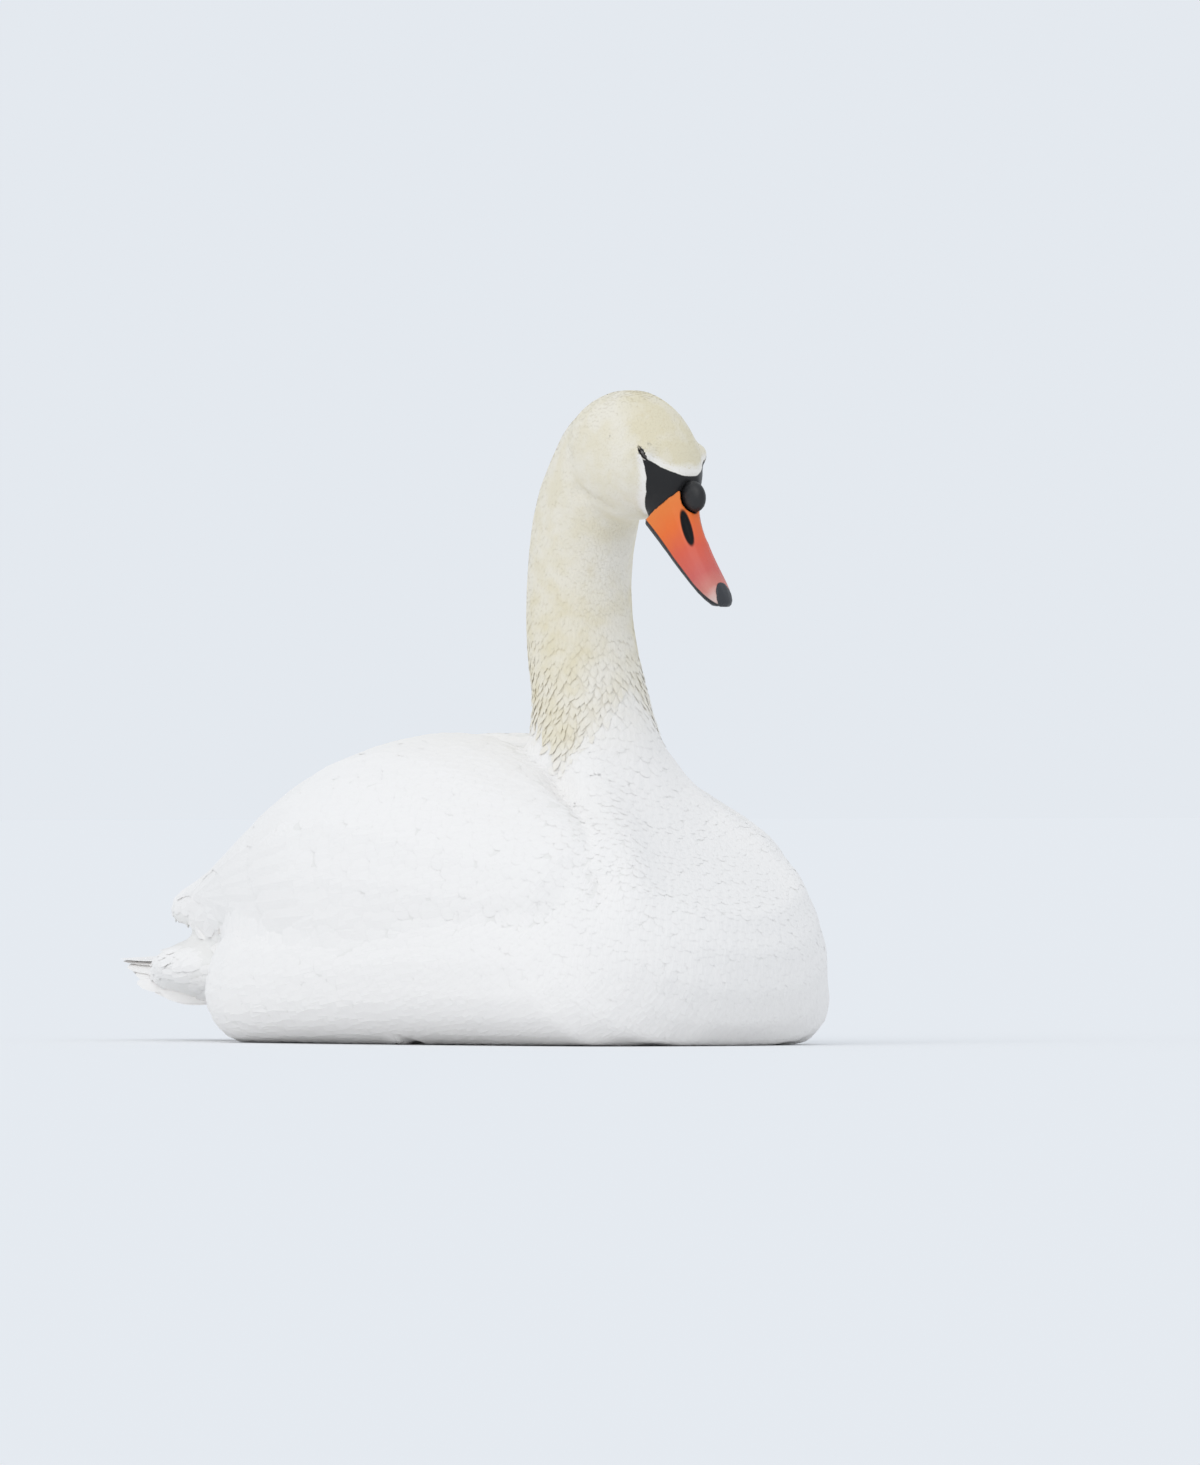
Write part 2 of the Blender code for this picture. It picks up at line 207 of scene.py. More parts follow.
def edge_sums(ends, to_one, to_two, count):
    """The sum at each point of what its edges bring to it; with nothing to bring, the number of its edges."""
    return np.bincount(ends[0], to_one, count) + np.bincount(ends[1], to_two, count)


def neighbour_mean(ends, value, edge_count):
    """The mean of a value over each point's neighbours."""
    one, two = ends
    return edge_sums(ends, value[two], value[one], len(value)) / edge_count


def smooth(made, rounds, shrink=0.5, swell=-0.53):
    """Taubin smoothing over the mesh's edges."""
    ends = edge_ends(made)
    points = points_of(made)
    edge_count = np.maximum(edge_sums(ends, None, None, len(points)), 1)
    for _ in range(rounds):
        for step in (shrink, swell):
            for axis in range(3):
                value = points[:, axis]
                points[:, axis] = value + step * (neighbour_mean(ends, value, edge_count) - value)
    set_points(made, points)


def keep_largest(made):
    """Only the largest connected surface: the remesh can leave small closed pockets inside."""
    shape = bmesh.new()
    shape.from_mesh(made.data)
    shape.verts.ensure_lookup_table()
    island = [-1] * len(shape.verts)
    sizes = []
    for start in shape.verts:
        if island[start.index] >= 0:
            continue
        number, stack = len(sizes), [start]
        island[start.index] = number
        sizes.append(0)
        while stack:
            vert = stack.pop()
            sizes[number] += 1
            for edge in vert.link_edges:
                other = edge.other_vert(vert)
                if island[other.index] < 0:
                    island[other.index] = number
                    stack.append(other)
    best = sizes.index(max(sizes))
    bmesh.ops.delete(shape, geom=[v for v in shape.verts if island[v.index] != best], context="VERTS")
    shape.to_mesh(made.data)
    shape.free()
    return len(sizes)


def refine(made, centres, reach):
    """Cuts each face within reach of one of the centres into four."""
    shape = bmesh.new()
    shape.from_mesh(made.data)
    middles = np.array([face.calc_center_median()[:] for face in shape.faces])
    near = np.min([np.linalg.norm(middles - centre, axis=1) for centre in centres], axis=0) < reach
    edges = {edge for face, chosen in zip(shape.faces, near) if chosen for edge in face.edges}
    bmesh.ops.subdivide_edges(shape, edges=list(edges), cuts=1, use_grid_fill=True)
    shape.to_mesh(made.data)
    shape.free()


print("Smoothing works on", len(form.data.edges), "edges")


# %% Fillers
SPINE_FROM, SPINE_TO = -0.135, 0.290
SPINE_DROP, SPINE_HEIGHT, SPINE_OVERLAP = 0.006, 0.045, 0.004
RUMP = ((0.0, 0.170, 0.0560), (0.074, 0.148, 0.0350))  # centre and radii
UNDER_TIPS = ((0.0, 0.195, 0.0850), (0.046, 0.062, 0.0320))
TAIL_ROOT_SIZE = (0.68, 0.66, 0.90)
SKIRT_SIZE = (1.10, 1.10, 1.60)


def wing_edges(name):
    """For each of the wing's sections: its distance back, and its highest, lowest and innermost points."""
    points = np.array([v.co[:] for v in nodes[name].data.vertices])
    made = []
    for back in np.unique(points[:, 1].round(4)):
        section = points[np.abs(points[:, 1] - back) < 0.0001]
        inner = section[np.abs(section[:, 0]).argmin()]
        made.append((back, section[section[:, 2].argmax()], section[section[:, 2].argmin()], inner))
    return made


edges_of = {name: wing_edges(name) for name in ("wing_left", "wing_right")}


def spine():
    """Fills the gap between the wings: a hull over each two neighbouring sections of their inner edges."""
    shape = bmesh.new()
    rows = []
    for back, _, _, inner in edges_of["wing_left"]:
        if SPINE_FROM < back < SPINE_TO:
            reach, top = inner[0] + SPINE_OVERLAP, inner[2] - SPINE_DROP
            rows.append([(x, back, z) for x in (-reach, reach) for z in (top, top - SPINE_HEIGHT)])
    for one, two in zip(rows, rows[1:]):
        verts = [shape.verts.new(place) for place in one + two]
        bmesh.ops.convex_hull(shape, input=verts)
    return shape


def egg(centre, radii):
    """A closed ellipsoid."""
    shape = bmesh.new()
    bmesh.ops.create_uvsphere(shape, u_segments=40, v_segments=24, radius=1.0)
    bmesh.ops.scale(shape, verts=shape.verts, vec=radii)
    bmesh.ops.translate(shape, verts=shape.verts, vec=centre)
    return shape


def stretched_copy(name, factors):
    """A closed copy of a node, scaled about the middle of its foot."""
    shape = bmesh.new()
    shape.from_mesh(nodes[name].data)
    centre = Vector(middle(name))
    centre.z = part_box(name)[0][2]
    bmesh.ops.translate(shape, verts=shape.verts, vec=-centre)
    bmesh.ops.scale(shape, verts=shape.verts, vec=factors)
    bmesh.ops.translate(shape, verts=shape.verts, vec=centre)
    return shape


fillers = [spine(), egg(*RUMP), egg(*UNDER_TIPS), stretched_copy("tail", TAIL_ROOT_SIZE)]
fillers += [stretched_copy("leg_" + side, SKIRT_SIZE) for side in ("left", "right")]
whole = bmesh.new()
whole.from_mesh(form.data)
for filler in fillers:
    part = bpy.data.meshes.new("filler")
    filler.to_mesh(part)
    filler.free()
    whole.from_mesh(part)
whole.to_mesh(form.data)
whole.free()
print("Added", len(fillers), "fillers")


# %% One even surface
VOXEL = 0.0040
HEAD_MIDDLE, HEAD_RADIUS = on_head(0.018, 0.0, 0.006), 0.062
FACE_PLACES = [on_head(0.042, side, 0.020) for side in (-0.024, 0.0, 0.024)]
FACE_RADIUS = 0.021
remesh(form, VOXEL)
surfaces = keep_largest(form)
smooth(form, 22)
refine(form, [HEAD_MIDDLE], HEAD_RADIUS)
smooth(form, 12)
refine(form, FACE_PLACES + list(eye_centres.values()), FACE_RADIUS)
smooth(form, 8)
print("The form has", len(form.data.polygons), "faces in one surface out of", surfaces)


# %% [markdown]
# ## Folds and lids
# Where two masses of feathers meet there is a soft fold: between the breast and the wing, and where the cheek
# stands over the neck. The voxels are too coarse for these, so they are pressed into the form afterwards: a
# point moves along its normal by a smooth curve of its distance from a line. Round each eye the form swells
# over the ball.

# %% Where the folds run
# side, ahead of and above the neck's root
BREAST_FOLD = [
    (0.052, 0.017, -0.025),
    (0.056, 0.028, -0.036),
    (0.063, 0.045, -0.050),
    (0.070, 0.064, -0.065),
    (0.076, 0.084, -0.079),
    (0.087, 0.106, -0.096),
    (0.097, 0.125, -0.113),
    (0.102, 0.135, -0.128),
    (0.107, 0.139, -0.141),
    (0.114, 0.141, -0.159),
]
# along, side and crownwards on the head
CHEEK_FOLD = [
    (0.0000, 0.0350, -0.0400),
    (0.0120, 0.0352, -0.0310),
    (0.0275, 0.0330, -0.0215),
    (0.0400, 0.0210, -0.0200),
]
FAR = 9.0  # metres, further than any place on the bird


def reach_to_line(points, line):
    """The distance to a line, the share of the way along it, the offset and the line's direction."""
    best = np.full(len(points), FAR)
    share = np.zeros(len(points))
    offset = np.zeros_like(points)
    direction = np.zeros_like(points)
    for number, (start, end) in enumerate(zip(line, line[1:])):
        run = end - start
        t = np.clip((points - start) @ run / (run @ run), 0.0, 1.0)
        away = points - start - t[:, None] * run
        reach = np.linalg.norm(away, axis=1)
        nearer = reach < best
        best[nearer] = reach[nearer]
        share[nearer] = (number + t[nearer]) / (len(line) - 1)
        offset[nearer] = away[nearer]
        direction[nearer] = run / np.linalg.norm(run)
    return best, share, offset, direction


def across_line(points, normals, line):
    """The signed distance across a line on the bird's right side and its mirror, and the share along it."""
    flip = np.where(points[:, 0] > 0, -1.0, 1.0)
    turn = np.stack([flip, np.ones_like(flip), np.ones_like(flip)], axis=1)
    reach, share, offset, direction = reach_to_line(points * turn, line)
    behind = (offset * np.cross(direction, normals * turn)).sum(axis=1)
    return reach * np.sign(behind), share


fold_line = np.array([neck_root + np.array([-side, -ahead, rise]) for side, ahead, rise in BREAST_FOLD])
cheek_line = np.array([on_head(along, -side, crown) for along, side, crown in CHEEK_FOLD])
print("The folds start at", fold_line[0].round(3), "and", cheek_line[0].round(3))


# %% Round the eyes
EYE_RADIUS = float(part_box("eye_left")[1][0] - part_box("eye_left")[0][0]) / 2
LID_SWELL = 0.0017
SOCKET = 0.015  # how far from an eye's centre its lids can reach


def swell_over(points, centre, radius, blend=0.0025):
    """Pushes points out so that they pass smoothly over a ball."""
    away = points - centre
    reach = np.linalg.norm(away, axis=1)
    lifted = (reach + radius + np.sqrt((reach - radius) ** 2 + blend**2)) / 2
    near = smoothstep(0.016, 0.010, reach)
    return centre + away * (1 + near * (lifted / np.maximum(reach, 1e-6) - 1))[:, None]


def eye_axes(name):
    """The eye's centre, the way it looks, the way its slit runs forwards, and upwards across the slit."""
    sign = 1.0 if name == "left" else -1.0
    outward = np.array([sign * 0.82, 0.0, 0.0]) + 0.18 * ALONG + 0.55 * CROWN
    outward /= np.linalg.norm(outward)
    forward = ALONG + 0.12 * CROWN
    forward -= outward * (forward @ outward)
    forward /= np.linalg.norm(forward)
    return eye_centres[name], outward, forward, np.cross(forward, outward) * -sign


def round_eye(points, half_length, half_height):
    """How far out from the eyes a point lies, in an oval round each slit: 1 on the oval itself."""
    reach = np.full(len(points), FAR)
    for name in eye_centres:
        centre, _, forward, upward = eye_axes(name)
        away = points - centre
        oval = np.hypot(away @ forward / half_length, away @ upward / half_height)
        reach = np.where(np.linalg.norm(away, axis=1) < SOCKET, np.minimum(reach, oval), reach)
    return reach


print("Eye radius", round(EYE_RADIUS, 4))


# %% Press in the folds
SHOULDER = np.array([0.078, -0.085, -0.085])  # the left wing's front, from the neck's root
SHOULDER_PUSH, SHOULDER_RADIUS = 0.020, 0.060
BREAST_DEPTH, BREAST_BANK = 0.0090, 0.0040
CHEEK_DEPTH = 0.0024
CROWN_DROP = 0.0040
REAR_TUCK = 0.016
form_points = points_of(form)
form_normals = normals_of(form)
for sign in (-1, 1):
    away = form_points - (neck_root + SHOULDER * np.array([sign, 1, 1]))
    form_points[:, 1] -= SHOULDER_PUSH * hump(np.linalg.norm(away, axis=1), 0.0, SHOULDER_RADIUS)
across, share = across_line(form_points, form_normals, fold_line)
strength = smoothstep(0.0, 0.20, share) * smoothstep(1.0, 0.70, share)
press = BREAST_BANK * hump(across, -0.026, 0.016) - BREAST_DEPTH * hump(across, 0.001, 0.0100)
form_points += form_normals * (press * strength)[:, None]
across, share = across_line(form_points, form_normals, cheek_line)
strength = smoothstep(0.0, 0.2, share) * smoothstep(1.0, 0.85, share)
form_points -= form_normals * (CHEEK_DEPTH * hump(across, 0.0, 0.0055) * strength)[:, None]
form_points[:, 2] -= CROWN_DROP * smoothstep(0.470, 0.510, form_points[:, 2])
rear = smoothstep(0.09, 0.18, form_points[:, 1]) * smoothstep(0.045, 0.0, form_points[:, 2])
form_points[:, 1] -= REAR_TUCK * rear
for centre in eye_centres.values():
    form_points = swell_over(form_points, centre, EYE_RADIUS + LID_SWELL)
set_points(form, form_points)
smooth(form, 2)
print("The form is now", np.ptp(form_points, axis=0).round(4), "m")


# %% [markdown]
# ## Each feather takes a small patch at its root's place on an unwrap of the skin's own shape.
# Each feather's colour is baked to a small patch at its root's place on an unwrap of the skin's own shape.
# Blender's Smart UV Project cuts the form into islands along its own bends, and the skin, which is a copy of
# the form, keeps the same map.

# %% Unwrap
def unwrap(made, name="OFBake"):
    made.data.uv_layers.new(name=name)
    bpy.context.view_layer.objects.active = made
    for other in bpy.context.selected_objects:
        other.select_set(False)
    made.select_set(True)
    bpy.ops.object.mode_set(mode="EDIT")
    bpy.ops.mesh.select_all(action="SELECT")
    bpy.ops.uv.smart_project(angle_limit=math.radians(60), island_margin=0.002)
    bpy.ops.object.mode_set(mode="OBJECT")


unwrap(form)
print("The form's map is", form.data.uv_layers.active.name)


# %% [markdown]
# ## Where each sort of plumage lies
# Feathers differ from place to place: velvet on the face, small pointed ones on the neck, broad ones on the
# body and the wings. Four functions of place say how. `flow` is the way the feathers lie, `length` and `depth`
# are the length of a feather and the thickness of the coat, and `stain` is the rusty cream that iron in the
# water leaves on a swan's crown and neck. Skin and feathers read the same functions, so their colours agree.

# %% Zones of the form
zone_names = ("trunk", "neck", "head", "wing_left", "wing_right")
LEFT_WING, RIGHT_WING = 3, 4
form_points = points_of(form)
form_normals = normals_of(form)


def tree_of(name):
    mesh = nodes[name].data
    return BVHTree.FromPolygons([v.co[:] for v in mesh.vertices], [p.vertices[:] for p in mesh.polygons])


node_trees = {name: tree_of(name) for name in zone_names}
distances = np.array(
    [[node_trees[name].find_nearest(Vector(p))[3] for name in zone_names] for p in form_points]
)
zone = np.argmin(distances, axis=1)
for number, name in enumerate(zone_names):
    print(name, "has", int((zone == number).sum()), "points of the form")


# %% The face's bare skin
# along and crownwards on the head
MASK_OUTLINE = [
    (0.0305, 0.0374),
    (0.0412, 0.0392),
    (0.0504, 0.0425),
    (0.0560, 0.0432),
    (0.0660, 0.0432),
    (0.0660, -0.0080),
    (0.0592, -0.0060),
    (0.0533, 0.0055),
    (0.0494, 0.0186),
    (0.0426, 0.0280),
    (0.0350, 0.0330),
]


def on_face(points):
    """True near the bill and the face, where the head's own axes have a meaning."""
    along, side, crown = head_axes(points)
    return (np.abs(side) < 0.045) & (crown > -0.022) & (along > 0.0) & (along < 0.170)


def bill_reach(points):
    """The distance along the bill, or 0 for a point that isn't on the face."""
    return np.where(on_face(points), head_axes(points)[0], 0.0)


def inside_outline(x, y, outline):
    """The distance to an outline's edge, positive inside it."""
    reach = np.full(len(x), FAR)
    inside = np.zeros(len(x), bool)
    for (x0, y0), (x1, y1) in zip(outline, outline[1:] + outline[:1]):
        run, climb = x1 - x0, y1 - y0
        t = np.clip(((x - x0) * run + (y - y0) * climb) / (run**2 + climb**2), 0.0, 1.0)
        reach = np.minimum(reach, np.hypot(x - x0 - t * run, y - y0 - t * climb))
        if climb:
            inside ^= ((y0 > y) != (y1 > y)) & (x < x0 + run * (y - y0) / climb)
    return np.where(inside, reach, -reach)


def bareness(points):
    """How far inside the bare black skin a point lies, in metres: negative under the feathers."""
    along, _, crown = head_axes(points)
    within = inside_outline(along, crown, MASK_OUTLINE)
    return np.where(bill_reach(points) > 0.063, 0.01, np.where(on_face(points), within, -0.02))


print("Bare skin covers", int((bareness(form_points) > 0).sum()), "points of the form")


# %% Collar and down
def collar(points):
    """1 inside the shawl of loose cream feathers round the neck's root, pointed on each side."""
    ahead = neck_root[1] - points[:, 1]
    side = np.abs(points[:, 0])
    rise = points[:, 2] - neck_root[2]
    off_breast = smoothstep(0.0, 0.030, 0.030 + side + rise - 0.9 * ahead)
    slack = np.where(rise > 0, 3.0 * rise, 0.7 * rise)
    off_wing = smoothstep(0.0, 0.010, 0.054 + slack + 0.9 * ahead - side)
    return off_breast * off_wing * smoothstep(-0.046, -0.034, rise)


def neckness(points):
    """1 on the neck, 0 on the trunk."""
    return np.maximum(smoothstep(0.205, 0.285, points[:, 2]), collar(points))


def ruffle(points):
    """How far the neck's feathers stand on end: little at the throat, most in the collar."""
    height = points[:, 2]
    throat = 0.06 * smoothstep(0.400, 0.340, height)
    return collar(points) * (throat + 0.80 * smoothstep(0.325, 0.255, height))


def vent(points):
    """1 on the soft down under the wings' tips and round the tail's root."""
    return smoothstep(0.085, 0.155, points[:, 1]) * smoothstep(0.125, 0.090, points[:, 2])


for name, measure in (("collar", collar), ("neck", neckness), ("down of the vent", vent)):
    print("The", name, "covers", int((measure(form_points) > 0.5).sum()), "points of the form")


# %% Flow, length, depth and stain
LAND = neck_root + np.array([0.0, 0.0, 0.03])  # the body's feathers lead away from here
BILL_CENTRE = on_head(0.078, 0.0, 0.016)  # and the head's from here
HEAD_REACH = 0.115
DEPTH_SHARE = 0.050
DOWN, BACK = np.array([0.0, 0.0, -1.0]), np.array([0.0, 1.0, -0.16])


def flow(points, normals):
    """The direction the feathers lie in, along the surface."""
    from_bill = points - BILL_CENTRE
    reach = np.linalg.norm(from_bill, axis=1)
    headness = 1 - smoothstep(0.075, 0.120, reach)
    radial = unit(points - LAND)
    backness = 0.25 + 0.75 * smoothstep(-0.330, -0.150, points[:, 1])
    backness = np.maximum(backness, 0.9 * smoothstep(0.10, 0.02, points[:, 2]))
    body = radial * (1 - backness)[:, None] + BACK * backness[:, None]
    upper = unit(from_bill) * headness[:, None] + DOWN * (1 - headness)[:, None]
    lean = neckness(points)[:, None]
    mixed = upper * lean + body * (1 - lean)
    mixed -= normals * (mixed * normals).sum(axis=1)[:, None]
    return unit(mixed)


def length(points, zones):
    """A feather's length in metres."""
    from_bill = np.linalg.norm(points - BILL_CENTRE, axis=1)
    back = points[:, 1]
    head = 0.0036 + 0.0034 * smoothstep(0.035, HEAD_REACH, from_bill)
    neck = 0.0070 + 0.0045 * smoothstep(0.37, 0.27, points[:, 2])
    trunk = 0.0150 + 0.0100 * smoothstep(-0.28, 0.02, back) - 0.009 * vent(points)
    wing = 0.0180 + 0.0220 * smoothstep(-0.25, 0.05, back) - 0.0240 * smoothstep(0.17, 0.27, back)
    low = np.where(zones >= LEFT_WING, wing, trunk)
    high = np.where(from_bill < HEAD_REACH, head, neck)
    lean = neckness(points)
    return high * lean + low * (1 - lean)


def depth(points, zones):
    """The coat's thickness in metres: a set share of the feathers' length, and none on the bare face."""
    thick = 0.0002 + DEPTH_SHARE * length(points, zones) * (1 + 0.9 * ruffle(points))
    return thick * (1 - smoothstep(-0.0040, 0.0002, bareness(points)))


def stain(points):
    """The share of rusty cream in the colour: most on the crown and the neck, less down the neck's front."""
    along, side, crown = head_axes(points)
    cap = smoothstep(0.000, 0.040, crown - 0.35 * np.abs(side)) * smoothstep(0.064, 0.040, along)
    height = points[:, 2]
    upper = 0.68 + 0.17 * smoothstep(0.375, 0.330, height) - 0.12 * smoothstep(0.310, 0.260, height)
    neck = upper * collar(points) * smoothstep(0.200, 0.245, height)
    throat = 0.50 * smoothstep(0.215, 0.320, height)
    ahead = neck_root[1] + 0.011 - points[:, 1]
    front = smoothstep(0.036, 0.052, ahead) * smoothstep(0.400, 0.370, height)
    neck = neck * (1 - 0.40 * front)
    throat = throat * (1 - 0.25 * front)
    rim = 1 - 0.75 * np.where(on_face(points), smoothstep(-0.0050, -0.0005, bareness(points)), 0.0)
    return np.clip(np.maximum(np.maximum(neck, throat), cap) * rim, 0.0, 1.0)


lengths = length(form_points, zone)
print("Feathers run from", lengths.min().round(4), "to", lengths.max().round(4), "m")


# %% [markdown]
# ## The skin
# The skin is a copy of the form, drawn inwards by a share of the coat's depth. It comes right out to the form
# where the face is bare, and runs on a little under the horn of the bill, so that there is no gap at its root.

# %% Draw the skin in
SKIN_SHARE = 0.35
SOCKET_DEPTH = 0.0040
BILL_ROOT, BILL_AXIS = 0.0605, 0.018  # along and crownwards
LID_OVAL = (0.0068, 0.0036)
LOWEST_SKIN = 0.0020
SIDEWAYS = np.array([1.0, 0.0, 0.0])


def store(made, name, kind, values, domain="POINT"):
    """Writes an array to a named attribute of the object's mesh."""
    made.data.attributes.new(name, kind, domain)
    field = {"FLOAT": "value", "FLOAT_VECTOR": "vector", "FLOAT2": "vector"}[kind]
    made.data.attributes[name].data.foreach_set(field, np.asarray(values, np.float32).ravel())


def count_triangles(made):
    return sum(len(face.vertices) - 2 for face in made.data.polygons)


skin = bpy.data.objects.new("skin", form.data.copy())
scene.collection.objects.link(skin)
socket_share = smoothstep(1.25, 0.85, round_eye(form_points, *LID_OVAL))
inward = SKIN_SHARE * depth(form_points, zone) + SOCKET_DEPTH * socket_share
inner = form_points - form_normals * inward[:, None]
along, side, crown = head_axes(inner)
plug = np.clip(bill_reach(inner) - BILL_ROOT, 0.0, None)
axis_point = head_origin + (BILL_ROOT + 0.2 * plug)[:, None] * ALONG + BILL_AXIS * CROWN
narrow = 1 - 0.35 * smoothstep(0.0, 0.006, plug)[:, None]
across = side[:, None] * SIDEWAYS + (crown - BILL_AXIS)[:, None] * CROWN
inner = np.where(plug[:, None] > 0, axis_point + across * narrow, inner)
inner[:, 2] = np.maximum(inner[:, 2], LOWEST_SKIN)
set_points(skin, inner)
smooth(skin, 2)
store(skin, "stain", "FLOAT", stain(form_points))
store(skin, "bare", "FLOAT", bareness(form_points) * 1000)
skin.data.shade_smooth()
print("The skin has", count_triangles(skin), "triangles")


# %% [markdown]
# ## Feather roots
# On a real bird the roots are evenly spread, closer together where the feathers are small. Throwing darts gives
# the same: many places are tried in a random order, and one is kept only if no kept place is nearer than the
# spacing there. A fixed seed makes every run alike. In a hollow a flat feather would bridge the bend and show
# its underside, so each root also keeps how hollow the form is there, and its feather is arched by that.

# %% How hollow the form is
MOST_HOLLOW = 60.0  # one over metres


def hollowness():
    """How hollow the form is at each point, as one over the bend's radius, and 0 where it bulges."""
    ends = edge_ends(form)
    one, two = ends
    run = form_points[two] - form_points[one]
    turn = ((form_normals[two] - form_normals[one]) * run).sum(axis=1)
    bend = turn / np.maximum((run**2).sum(axis=1), 1e-9)
    edge_count = np.maximum(edge_sums(ends, None, None, len(form_points)), 1)
    value = edge_sums(ends, bend, bend, len(form_points)) / edge_count
    for _ in range(3):
        value = 0.5 * value + 0.5 * neighbour_mean(ends, value, edge_count)
    return np.clip(-2 * value, 0.0, MOST_HOLLOW)


hollow = hollowness()
print("Hollow by more than half the most:", int((hollow > MOST_HOLLOW / 2).sum()), "points")


# %% Throw the darts
SEED = 11
SPACING = 0.30  # of a feather's length
random = np.random.default_rng(SEED)
form.data.calc_loop_triangles()
corners = array_of(form.data.loop_triangles, "vertices", 3, np.int32)
loops = array_of(form.data.loop_triangles, "loops", 3, np.int32)
map_places = array_of(form.data.uv_layers["OFBake"].data, "uv", 2)


def throw_darts(spacing_at, allowed_at, tries=5.0):
    """Root places with their normals, map places and zones, as a dictionary of arrays."""
    p = form_points[corners]
    area = 0.5 * np.linalg.norm(np.cross(p[:, 1] - p[:, 0], p[:, 2] - p[:, 0]), axis=1)
    centre = p.mean(axis=1)
    zones = zone[corners[:, 0]]
    gap = spacing_at(centre, zones)
    weight = area / gap**2 * allowed_at(centre, zones)
    total = int(weight.sum() * tries)
    chosen = random.choice(len(area), total, p=weight / weight.sum())
    u, v = random.random(total), random.random(total)
    over = u + v > 1
    u[over], v[over] = 1 - u[over], 1 - v[over]
    share = np.stack([1 - u - v, u, v], axis=1)
    at = (p[chosen] * share[:, :, None]).sum(axis=1)
    out = unit((form_normals[corners[chosen]] * share[:, :, None]).sum(axis=1))
    place = (map_places[loops[chosen]] * share[:, :, None]).sum(axis=1)
    bend = (hollow[corners[chosen]] * share).sum(axis=1)
    fits = allowed_at(at, zones[chosen]) > 0
    at, out, place, bend, chosen = (value[fits] for value in (at, out, place, bend, chosen))
    radius = gap[chosen]
    tree = KDTree(len(at))
    for number, point in enumerate(at):
        tree.insert(point, number)
    tree.balance()
    alive = np.ones(len(at), bool)
    kept = []
    for number in range(len(at)):
        if alive[number]:
            kept.append(number)
            near = [i for _, i, _ in tree.find_range(at[number], radius[number])]
            alive[near] = False
    thrown = {"at": at, "out": out, "place": place, "bend": bend, "zone": zones[chosen]}
    return {key: value[kept] for key, value in thrown.items()}


def plumage_spacing(points, zones):
    return SPACING * length(points, zones) * (1 + 0.30 * ruffle(points))


def plumage_allowed(points, zones):
    """Leaves bare the face's skin, the horn of the bill, the rims of the lids and the tail's tip."""
    clear = (bareness(points) < -0.0003) & (bill_reach(points) < 0.0595)
    clear &= round_eye(points, *LID_OVAL) > 1.0
    clear &= (points[:, 1] < 0.322) | (points[:, 2] > 0.088)
    return clear.astype(float)


def under_tips(roots):
    """True below the wings' tips, where small feathers would stand out of the gap above the tail."""
    side, back, height = roots["at"].T
    below = (roots["zone"] >= LEFT_WING) & (roots["out"][:, 2] < -0.35) & (back > 0.10)
    return below | ((back > 0.195) & (np.abs(side) < 0.055) & (height > 0.074) & (height < 0.104))


roots = throw_darts(plumage_spacing, plumage_allowed)
hidden = under_tips(roots)
roots = {key: value[~hidden] for key, value in roots.items()}
print("Kept", len(roots["at"]), "roots")


# %% [markdown]
# ## One vane
# A contour feather is a thin leaf: a root hidden under its neighbours, a broad middle and a rounded or pointed
# tip, with a low ridge down its middle. There are many thousands of them, so each has only a couple of dozen
# faces. The mesh is one unit long and wide, and keeps its own (across, along, height) in an attribute called
# `leaf`.

# %% Make the vanes
def vane(name, outline, origin=0.0):
    """A closed thin leaf from (along, half width) pairs that end in a tip of no width."""
    shape = bmesh.new()
    leaf = shape.verts.layers.float_vector.new("leaf")
    widest = max(width for _, width in outline)

    def point(across, along, high):
        made = shape.verts.new((across, along - origin, 0.0))
        made[leaf] = (across / widest, along, high)
        return made

    rows = []
    for along, width in outline[:-1]:
        rows.append([point(-width, along, 0.0), point(0.0, along, 1.0), point(width, along, 0.0)])
    tip = point(0.0, outline[-1][0], 0.1)
    for low, high in zip(rows, rows[1:]):
        for a, b in ((0, 1), (1, 2), (2, 0)):
            shape.faces.new((low[a], low[b], high[b], high[a]))
    for a, b in ((0, 1), (1, 2), (2, 0)):
        shape.faces.new((rows[-1][a], rows[-1][b], tip))
    shape.faces.new(rows[0][::-1])
    for edge in shape.edges:
        ends = [vert[leaf][2] for vert in edge.verts]
        edge.smooth = max(ends) > 0.0
    return new_object(name, shape)


def long_outline(steps, blunt):
    """Half widths of a long vane that widens from the quill and rounds off at the tip."""
    made = []
    for step in range(steps):
        t = 0.985 * step / (steps - 1)
        made.append((t, (0.30 + 0.70 * min(1.0, t * 3)) * (1 - t**blunt) ** 0.6))
    return made + [(1.0, 0.0)]


BROAD = [(0.0, 0.4), (0.35, 0.92), (0.65, 1.0), (0.86, 0.78), (0.96, 0.42), (1.0, 0.0)]
vanes = {
    "down": vane("down", [(0.0, 0.5), (0.60, 1.0), (1.0, 0.0)]),
    "lance": vane("lance", [(0.0, 0.45), (0.35, 1.0), (0.70, 0.70), (1.0, 0.0)]),
    "contour": vane("contour", BROAD),
    "flight": vane("flight", long_outline(16, 6), origin=0.5),
    "quill": vane("quill", long_outline(16, 4.5)),
}
for name, made in vanes.items():
    print("A", name, "vane has", len(made.data.polygons), "faces")


# %% [markdown]
# ## Laying the feathers
# A Geometry Nodes tree puts one vane on each root, turns it along the flow, and then presses it onto the form:
# each point moves to the nearest place on the form, and from there out or in by its own height. The root sinks
# to the skin, the tip comes up to the form, and the edges turn down over their neighbours. Pressing matters
# most for the long feathers of the wing, which would stick out like planks if they stayed straight.

